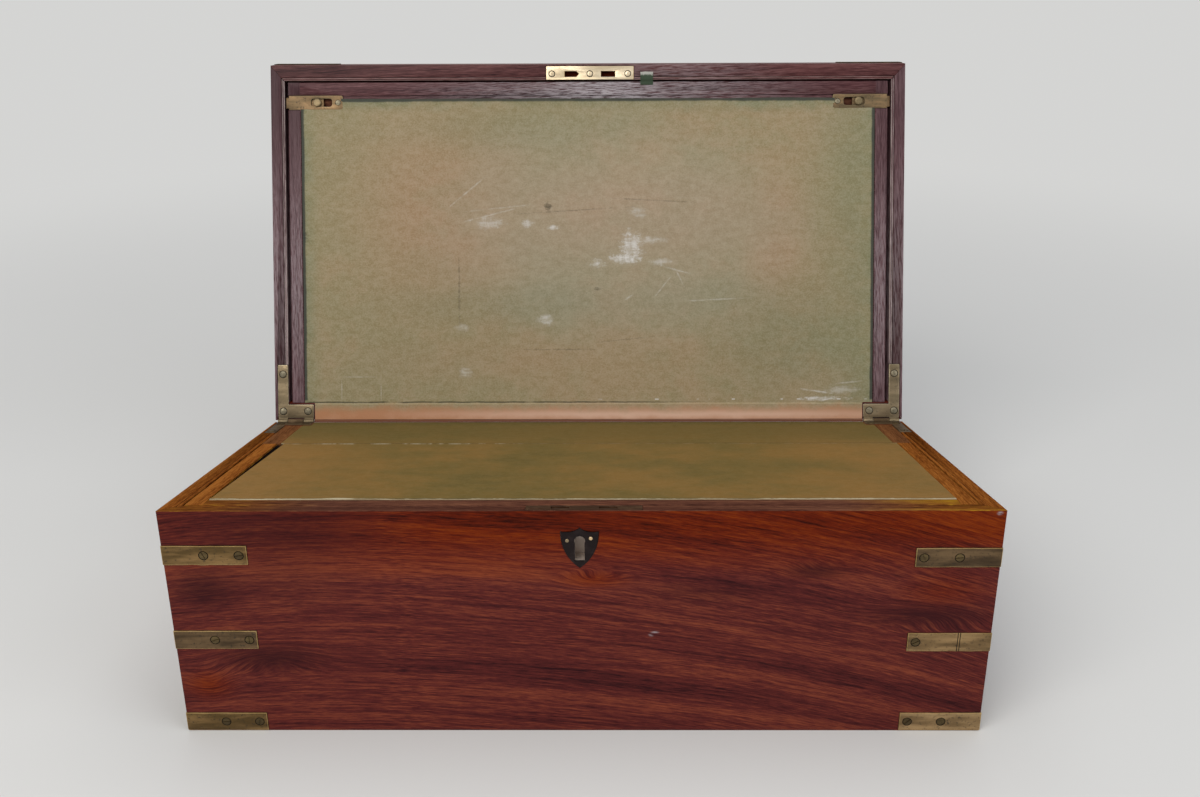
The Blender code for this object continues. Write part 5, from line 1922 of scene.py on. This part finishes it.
@dataclass
class Lock:
    """Escutcheon, lock, selvedge and strike plate; near and far are the strike plate's edges."""

    left: float = -0.0331
    right: float = 0.0371
    near: float = 0.2739
    far: float = 0.2846
    thickness: float = 0.0016
    eased: float = 0.0003
    slots: tuple = (-0.01255, 0.01655)
    slot_length: float = 0.0112
    slot_width: float = 0.0046
    slot_distance: float = 0.2783
    screws: tuple = (-0.0284, 0.002, 0.0324)
    screw_shift: float = 0.0002
    pins: tuple = ((-0.0083, 0.1392), (0.0060, 0.1407))
    pin_radius: float = 0.0012
    pin_half: float = 0.0005
    pin_sunk: float = 0.0001
    pin_dome: float = 0.0004

    def strike_plate(self) -> Piece:
        """Models the plate in the lid's rim, with its slots and screws.

        Returns:
            The plate.
        """
        top = -BOX.half_gap
        low = (self.left, -self.far, top - self.thickness)
        plate = Bench.block("strike_plate_brass", low, (self.right, -self.near, top))
        Bench.dress(plate, "strike_brass", "rubbed_brass", "recess_painted_shade")
        half, across = self.slot_length / 2, self.slot_width / 2
        for number, middle in enumerate(self.slots):
            cutter = Bench.block(
                f"slot_{number}", (middle - half, -self.slot_distance - across, -CLEAR),
                (middle + half, -self.slot_distance + across, CLEAR),
            )
            if number == 0:
                pointed = both(edges_taller(CLEAR), lambda edge: middle_of(edge).x > self.slots[0])
                Bench.bevel(cutter, pointed, self.slot_width * 0.45, 1)
            Bench.cut(plate, cutter)
        Bench.bevel(plate, rim_edges(top), self.eased, 2, WORN)
        y = -self.slot_distance - self.screw_shift
        spots = [(Vector((x, y, top)), UP, x * 90) for x in self.screws]
        Screw(radius=0.0021, ring=0.0006).fasten(plate, spots, "strike_brass", slotted=False)
        return Bench.put(plate, LID_SLOPE.matrix)

    def escutcheon(self) -> Piece:
        """Eases the shield's edges and sets its two pins.

        Returns:
            The shield.
        """
        shield = self._eased("escutcheon", "escutcheon_iron", "black_iron", 0.00025, 0.0009)
        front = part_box("escutcheon")[0].y
        upright = Matrix.Rotation(QUARTER, 4, "X")
        pins = []
        for number, (x, z) in enumerate(self.pins):
            half = self.pin_half
            pin = Bench.round(f"escutcheon_pin_{number}", self.pin_radius, -half, half, 16)
            Bench.bevel(pin, edges_above(0), self.pin_dome, 3)
            # The right pin takes the bright brass: a painted glint
            Bench.dress(pin, "rubbed_brass" if x > 0 else "hinge_brass")
            place = Matrix.Translation((x, front + self.pin_sunk, z))
            pins.append(Bench.put(pin, place @ upright))
        return Bench.join(shield, pins)

    @staticmethod
    def _eased(
        node: str, name: str, finish: str, width: float, shortest: float, paint: int = BODY
    ) -> Piece:
        """Copies a packed metal piece, and eases its edges.

        Args:
            node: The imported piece.
            name: The copy's name.
            finish: Its finish.
            width: Width of an eased edge.
            shortest: Shortest edge that is eased.
            paint: The slot of the eased edges.

        Returns:
            The copy.
        """
        piece = Bench.merged(node, name, finish, "rubbed_brass")
        Bench.bevel(
            piece,
            lambda edge: len(edge.link_faces) == 2 and edge.calc_length() > shortest
            and 0.9 < edge.calc_face_angle_signed() < 2.0,
            width, 2, paint,
        )
        return piece

    def build(self) -> None:
        """Makes the lock's pieces."""
        stand_for(self.strike_plate(), "strike_plate")
        stand_for(self.escutcheon(), "escutcheon")
        for node, finish, width, paint in (
            ("lock_case", "lock_steel", 0.0002, BODY), ("lock_bolt", "bolt_iron", 0.0002, BODY),
            # The selvedge's eased edges take the bright brass: painted glints
            ("lock_selvedge", "selvedge_brass", 0.00035, WORN),
        ):
            piece = self._eased(node, f"{node}_metal", finish, width, 0.004, paint)
            stand_for(piece, node)


@dataclass
class Catches:
    """Two slide catches on the lid flap, with lengths along x from a plate's outer end."""

    outer: float = 0.2398
    length: float = 0.0434
    near: float = 0.2508
    far: float = 0.2620
    top: float = -0.0014
    thickness: float = 0.0012
    corner: float = 0.0016
    eased: float = 0.0003
    window: tuple = (0.0179, 0.0347)
    window_width: float = 0.0064
    knob: float = 0.0228
    knob_radius: float = 0.0032
    knob_height: float = 0.0011
    knob_dome: float = 0.0009
    neck: float = 0.0016
    neck_sunk: float = 0.0005
    neck_lap: float = 0.0002
    screw: float = 0.0395
    screw_turn: float = 1.1
    bar_width: float = 0.0084
    bar: float = 0.0022
    bar_ease: float = 0.0004
    tail: float = 0.0275
    tip: float = 0.0028
    fit: float = 0.0003

    @property
    def middle(self) -> float:
        """Distance of the catch's middle line."""
        return (self.near + self.far) / 2

    def plate(self) -> Piece:
        """Models the right-hand plate.

        Returns:
            The plate.
        """
        inner = self.outer - self.length
        low = (inner, -self.far, self.top - self.thickness)
        plate = Bench.block("catch_plate", low, (self.outer, -self.near, self.top))
        Bench.dress(plate, "catch_brass", "knob_brass", "recess_painted_shade")
        inner_end = both(edges_taller(0.001), lambda edge: middle_of(edge).x < inner + 0.0001)
        Bench.bevel(plate, inner_end, self.corner, 4)
        start, end = (self.outer - place for place in self.window)
        half = self.window_width / 2
        low, high = (end, -self.middle - half, -CLEAR), (start, -self.middle + half, CLEAR)
        cutter = Bench.block("window", low, high)
        Bench.bevel(cutter, edges_taller(CLEAR), half * 0.6, 4)
        # The window's walls take the dark detail slot: painted shade
        Bench.cut(plate, cutter, DETAIL)
        Bench.bevel(plate, rim_edges(self.top), self.eased, 2, WORN)
        place = Vector((self.outer - self.screw, -self.middle, self.top))
        screw = Screw(radius=0.002, ring=0.00035)
        screw.fasten(plate, [(place, UP, self.screw_turn)], "leaf_screw_brass")
        return plate

    def bolt(self) -> Piece:
        """Models the right-hand bolt with its neck and domed knob.

        Returns:
            The bolt.
        """
        high = self.top - self.thickness - self.fit
        half = self.bar_width / 2
        bar = Bench.block(
            "catch_bar", (self.outer - self.tail, -self.middle - half, high - self.bar),
            (self.outer + self.tip, -self.middle + half, high),
        )
        Bench.dress(bar, "catch_brass", "catch_brass")
        Bench.bevel(bar, lambda edge: middle_of(edge).x > self.outer, self.bar_ease, 2, WORN)
        foot = self.top + self.fit
        knob = Bench.round("catch_knob", self.knob_radius, foot, foot + self.knob_height, 32)
        Bench.bevel(knob, edges_above(foot + self.knob_height / 2), self.knob_dome, 5)
        neck_foot = high - self.neck_sunk
        neck = Bench.round("catch_neck", self.neck, neck_foot, foot + self.neck_lap, 20)
        Bench.bevel(neck, lambda edge: all(point.co.z < high for point in edge.verts), 0.0002, 1)
        for part in (knob, neck):
            Bench.dress(part, "knob_brass")
            Bench.put(part, Matrix.Translation((self.outer - self.knob, -self.middle, 0)))
        return Bench.join(bar, [knob, neck])

    def build(self) -> None:
        """Makes both catches."""
        plate, bolt = self.plate(), self.bolt()
        for sx, side in SIDES:
            matrix = LID_SLOPE.matrix @ Matrix.Diagonal((sx, 1, 1, 1))
            for pattern, part in ((plate, "plate"), (bolt, "bolt")):
                node = f"catch_{part}_{side}"
                piece = Bench.copy(pattern, f"{node}_brass")
                stand_for(Bench.put(piece, matrix), node)
        Bench.discard(plate, bolt)


@dataclass
class WritingLeather:
    """One slope's leather: a single skin over the hinge rail and the flap, creased between."""

    slope: Slope
    start: float
    # Half widths, each with the distance up to which it holds
    widths: tuple
    rail_height: float
    flap_height: float
    waver: float
    # The catches' corners, across and along; what it lacks at the left, by the crease and at its end
    notch: Optional[tuple[float, float]] = None
    shrunk: Optional[tuple[float, float]] = None
    shrunk_reach: float = 0.03
    thickness: float = 0.0008
    mesh_step: float = 0.004
    crease: float = 0.0012
    fold: float = 0.0025
    lift: float = 0.00012
    curl: float = 0.00042
    curl_reach: float = 0.014
    side_lift: float = 0.0001
    side_reach: float = 0.008
    ragged: float = 0.28

    def build(self) -> None:
        """Makes the skin and lays it on its slope."""
        home, seam, end = self.slope.home, self.slope.seam, self.slope.end
        widest, length = max(half for half, _ in self.widths), end - self.start
        skin = Bench.plane(f"{home}_writing_leather", -widest, widest, self.start, end)
        Bench.dress(skin, f"{home}_leather", f"{home}_raw_edge")
        lines = {half * sign for half, _ in self.widths for sign in (-1, 1) if half < widest}
        lines |= set(spread(-widest, 2 * widest, int(2 * widest / self.mesh_step)))
        Bench.slice(skin, X, sorted(lines))
        marks = {limit for _, limit in self.widths if limit < end}
        marks |= {seam - self.crease, seam, seam + self.crease}
        marks |= set(spread(self.start, length, int(length / self.mesh_step)))
        Bench.slice(skin, Y, sorted(-mark for mark in marks))
        Bench.remove(skin, self._outside)
        for point in skin.data.vertices:
            self._settle(point)
        Bench.thicken(skin, self.thickness, WORN)
        self._note_places(skin)
        Bench.smooth(Bench.put(skin, self.slope.matrix))
        start = self.slope.point(0, seam - self.fold, self.rail_height)
        end_of_fold = self.slope.point(0, seam + self.fold, self.rail_height)
        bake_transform(skin, home, f"{home}_flap", start=start, end=end_of_fold)
        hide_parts(f"{home}_rail_leather", f"{home}_flap_leather")
        size = (2 * widest, length)
        area = min(sum(face.area for face in skin.data.polygons) / 2, size[0] * size[1])
        LOG.info("%s laid over rail and flap", skin.name)

    def _half_at(self, distance: float) -> float:
        """Half width of the skin at a distance from the hinge line."""
        return next(half for half, limit in self.widths if distance < limit)

    def _outside(self, face: Face) -> bool:
        """Whether a face of the first sheet is outside the cut skin.

        Args:
            face: The face.

        Returns:
            Whether it is cut away.
        """
        middle = face.calc_center_median()
        x, distance = abs(middle.x), -middle.y
        if x > self._half_at(distance):
            return True
        return self.notch is not None and x > self.notch[0] and distance > self.notch[1]

    def _settle(self, point: bpy.types.MeshVertex) -> None:
        """Gives one point of the skin its height, its waves and its ragged edge.

        Args:
            point: The point, on the flat sheet.
        """
        seam, end = self.slope.seam, self.slope.end
        x, distance = point.co.x, -point.co.y
        half = self._half_at(min(distance, end - 1e-6))
        edge = max(0.0, 1 - (end - distance) / self.curl_reach)
        side = max(0.0, 1 - (half - abs(x)) / self.side_reach)
        ripple = noise.noise(Vector((x * 38, distance * 30, 4.0))) * self.lift
        wave = 0.5 + 0.5 * noise.noise(Vector((x * 55, 1.7, 0.3)))
        lift = self.lift + ripple + self.curl * edge * edge * wave + self.side_lift * side
        if self.shrunk and x < 0 and distance > seam:
            by_crease, at_end = self.shrunk
            drawn = by_crease * (1 - (distance - seam) / (end - seam)) + at_end
            point.co.x += drawn * max(0.0, 1 - (self.widths[-1][0] - abs(x)) / self.shrunk_reach)
        point.co.z = (self.rail_height if distance < seam else self.flap_height) + lift
        frayed = edge - (1 - self.ragged)
        if frayed > 0:
            wander = noise.noise(Vector((x * 42, 5.1, 2.2)))
            point.co.y += wander * self.waver * frayed / self.ragged

    @staticmethod
    def _note_places(skin: Piece) -> None:
        """Keeps each point's place on the flat skin, so that the pattern follows when it folds.

        Args:
            skin: The skin, still flat.
        """
        places = skin.data.attributes.new(Ground.PLACE, "FLOAT_VECTOR", "POINT")
        for point, place in zip(skin.data.vertices, places.data):
            place.vector = point.co


@dataclass
class PullTab:
    """The ribbon tab glued to the lid flap; its line gives distances and heights over the rim."""

    centre: float = 0.0475
    width: float = 0.0101
    line: tuple = (
        (0.2697, -0.0011), (0.2708, -0.0008), (0.2724, -0.0009), (0.2732, -0.0004),
        (0.2742, 0.0001), (0.2770, 0.0002), (0.2798, 0.00015),
    )
    between: tuple = (0.2702, 0.2755, 0.2785)
    columns: int = 8
    thickness: float = 0.0003
    ripple: float = 0.00008
    fray: float = 0.0004

    def build(self) -> None:
        """Makes the tab."""
        near, far = self.line[0][0], self.line[-1][0]
        left = self.centre - self.width / 2
        tab = Bench.plane("pull_tab_ribbon", left, left + self.width, near, far)
        Bench.dress(tab, "green_ribbon_cloth")
        rows = {place for place, _ in self.line[1:-1]} | set(self.between)
        Bench.slice(tab, Y, sorted(-row for row in rows))
        Bench.slice(tab, X, spread(left, self.width, self.columns))
        for point in tab.data.vertices:
            x, y, _ = point.co
            wave = noise.noise(Vector((x * 300, y * 200, 0)))
            point.co.z = self._height(-y) + wave * self.ripple
            if -y > far - 0.0001:
                point.co.y += noise.noise(Vector((x * 900, 0, 1))) * self.fray
        Bench.thicken(tab, self.thickness)
        stand_for(Bench.put(tab, LID_SLOPE.matrix), "lid_flap_pull_tab")

    def _height(self, distance: float) -> float:
        """Height of the tab at a distance from the hinge line.

        Args:
            distance: The distance.

        Returns:
            The height on the lid's slope.
        """
        for (first, low), (second, high) in zip(self.line, self.line[1:]):
            if distance <= second:
                share = max(0.0, (distance - first) / (second - first))
                return low + (high - low) * share
        return self.line[-1][1]


@dataclass
class Studio:
    """Pale floor that fades into the background, soft lamps and the camera."""

    camera: tuple = (0.01773, -0.83186, 0.52734)
    pitch: float = math.radians(23.059)
    yaw: float = math.radians(-0.475)
    roll: float = math.radians(0.275)
    focal: float = 1312.0
    frame_width: float = 1200.0
    sensor: float = 36.0
    # Name, place, side, power in watts and colour of each lamp
    lamps: tuple = (
        ("key_lamp", (-1.1, -1.7, 1.9), 1.8, 38.0, (1.0, 0.97, 0.92)),
        ("fill_lamp", (1.7, -1.2, 1.3), 1.8, 13.0, (0.96, 0.98, 1.0)),
        ("top_lamp", (0.1, 0.3, 2.4), 2.2, 20.0, (1.0, 0.99, 0.97)),
    )
    aim: tuple = (0, 0.05, 0.15)
    pale: Colour = (0.66, 0.66, 0.65)
    sky: Colour = (0.92, 0.95, 1.0)
    sky_strength: float = 0.32
    floor_tones: tuple = ((0.7, 0.7, 0.69), (0.73, 0.73, 0.72))
    floor_size: float = 16
    fade: tuple = (0.5, 1.6)

    def build(self) -> None:
        """Sets up the floor, the lamps, the world and the camera."""
        scene = bpy.context.scene
        scene.view_settings.view_transform = "Standard"
        self._floor()
        for lamp in self.lamps:
            self._lamp(*lamp)
        scene.world = self._world()
        scene.camera = self._camera()

    def _world(self) -> bpy.types.World:
        """Makes a soft sky, as pale as the floor where the camera sees it.

        Returns:
            The world.
        """
        world = bpy.data.worlds.new("studio_world")
        world.use_nodes = True
        nodes, links = world.node_tree.nodes, world.node_tree.links
        sky = nodes["Background"]
        sky.inputs["Color"].default_value = (*self.sky, 1.0)
        sky.inputs["Strength"].default_value = self.sky_strength
        backdrop = nodes.new("ShaderNodeBackground")
        backdrop.inputs["Color"].default_value = (*self.pale, 1.0)
        mixed, rays = nodes.new("ShaderNodeMixShader"), nodes.new("ShaderNodeLightPath")
        links.new(rays.outputs["Is Camera Ray"], mixed.inputs[0])
        links.new(sky.outputs[0], mixed.inputs[1])
        links.new(backdrop.outputs[0], mixed.inputs[2])
        links.new(mixed.outputs[0], nodes["World Output"].inputs["Surface"])
        return world

    def _floor(self) -> None:
        """Lays a plain pale floor."""
        Bench.clear()
        bpy.ops.mesh.primitive_plane_add(size=self.floor_size)
        floor = bpy.context.object
        floor.name = "studio_floor"
        tree = Tree("studio_floor_paint")
        grain = tree.noise(tree.place(), (3.0, 3.0, 3.0), 2.0)
        tree.surface(Base_Color=tree.mix(grain, *self.floor_tones), Roughness=0.9)
        tree.surface(Specular_IOR_Level=0.1)
        self._pale_distance(tree)
        floor.data.materials.append(tree.material)

    def _pale_distance(self, tree: Tree) -> None:
        """Keeps the far floor as pale as the near floor where it is seen.

        Args:
            tree: The floor's tree.
        """
        x, y, _ = tree.split(tree.place())
        far = ((x * x + y * y) ** 0.5).ease(*self.fade)
        camera, glossy, through = (
            tree.node("ShaderNodeLightPath", output=f"Is {kind} Ray")
            for kind in ("Camera", "Glossy", "Transmission")
        )
        seen = camera.most(glossy).most(through)
        glow = tree.node("ShaderNodeEmission", {}, {"Color": self.pale, "Strength": 1.0})
        shader = Value(tree, tree.shader.outputs[0])
        mixed = tree.node("ShaderNodeMixShader", {}, {0: far * seen, 1: shader, 2: glow})
        output = next(item for item in tree.nodes if item.type == "OUTPUT_MATERIAL")
        tree.feed(output.inputs["Surface"], mixed)

    def _lamp(self, name: str, place: tuple, size: float, power: float, colour: Colour) -> None:
        """Hangs a soft square lamp that looks at the box.

        Args:
            name: The lamp's name.
            place: Where it hangs.
            size: Its side.
            power: Its power in watts.
            colour: Its colour.
        """
        data = bpy.data.lights.new(name, "AREA")
        data.size, data.energy, data.color = size, power, colour
        lamp = bpy.data.objects.new(name, data)
        bpy.context.scene.collection.objects.link(lamp)
        lamp.location = place
        look = Vector(self.aim) - Vector(place)
        lamp.rotation_euler = look.to_track_quat("-Z", "Y").to_euler()

    def _camera(self) -> Piece:
        """Makes the camera at the photograph's viewing angle.

        Returns:
            The camera.
        """
        data = bpy.data.cameras.new("studio_camera")
        data.sensor_fit, data.sensor_width = "HORIZONTAL", self.sensor
        data.lens = self.focal * self.sensor / self.frame_width
        data.clip_start = 0.01
        level, yaw = math.cos(self.pitch), self.yaw
        ahead = Vector((math.sin(yaw) * level, math.cos(yaw) * level, -math.sin(self.pitch)))
        right = Vector((math.cos(yaw), -math.sin(yaw), 0))
        down = ahead.cross(right)
        leaning = math.cos(self.roll) * right + math.sin(self.roll) * down
        lower = -math.sin(self.roll) * right + math.cos(self.roll) * down
        matrix = Matrix((leaning, -lower, -ahead)).transposed().to_4x4()
        camera = bpy.data.objects.new("studio_camera", data)
        bpy.context.scene.collection.objects.link(camera)
        camera.matrix_world = Matrix.Translation(self.camera) @ matrix
        return camera


def main() -> None:
    """Builds and dresses the box, one sub-assembly after another."""
    logging.basicConfig(level=logging.INFO, format="%(message)s")
    whole = 1.0
    base_widths = ((0.2224, 0.0148), (0.2283, BASE_SLOPE.seam), (0.2310, whole))
    lid_widths = ((0.2224, 0.0150), (0.2300, whole))
    base_leather = WritingLeather(
        BASE_SLOPE, 0.0008, base_widths, -0.0007, -0.0007, 0.0012, shrunk=(0.0046, 0.0008)
    )
    lid_leather = WritingLeather(
        LID_SLOPE, -0.0006, lid_widths, -0.0007, -0.0016, 0.0005, notch=(0.1962, 0.2506)
    )
    assemblies = (
        Studio(), Carcass(), CornerStraps(), Hinges(), Lock(), Catches(), base_leather, lid_leather,
        PullTab(),
    )
    for assembly in assemblies:
        LOG.info("building %s", type(assembly).__name__)
        assembly.build()


if __name__ == "__main__":
    main()
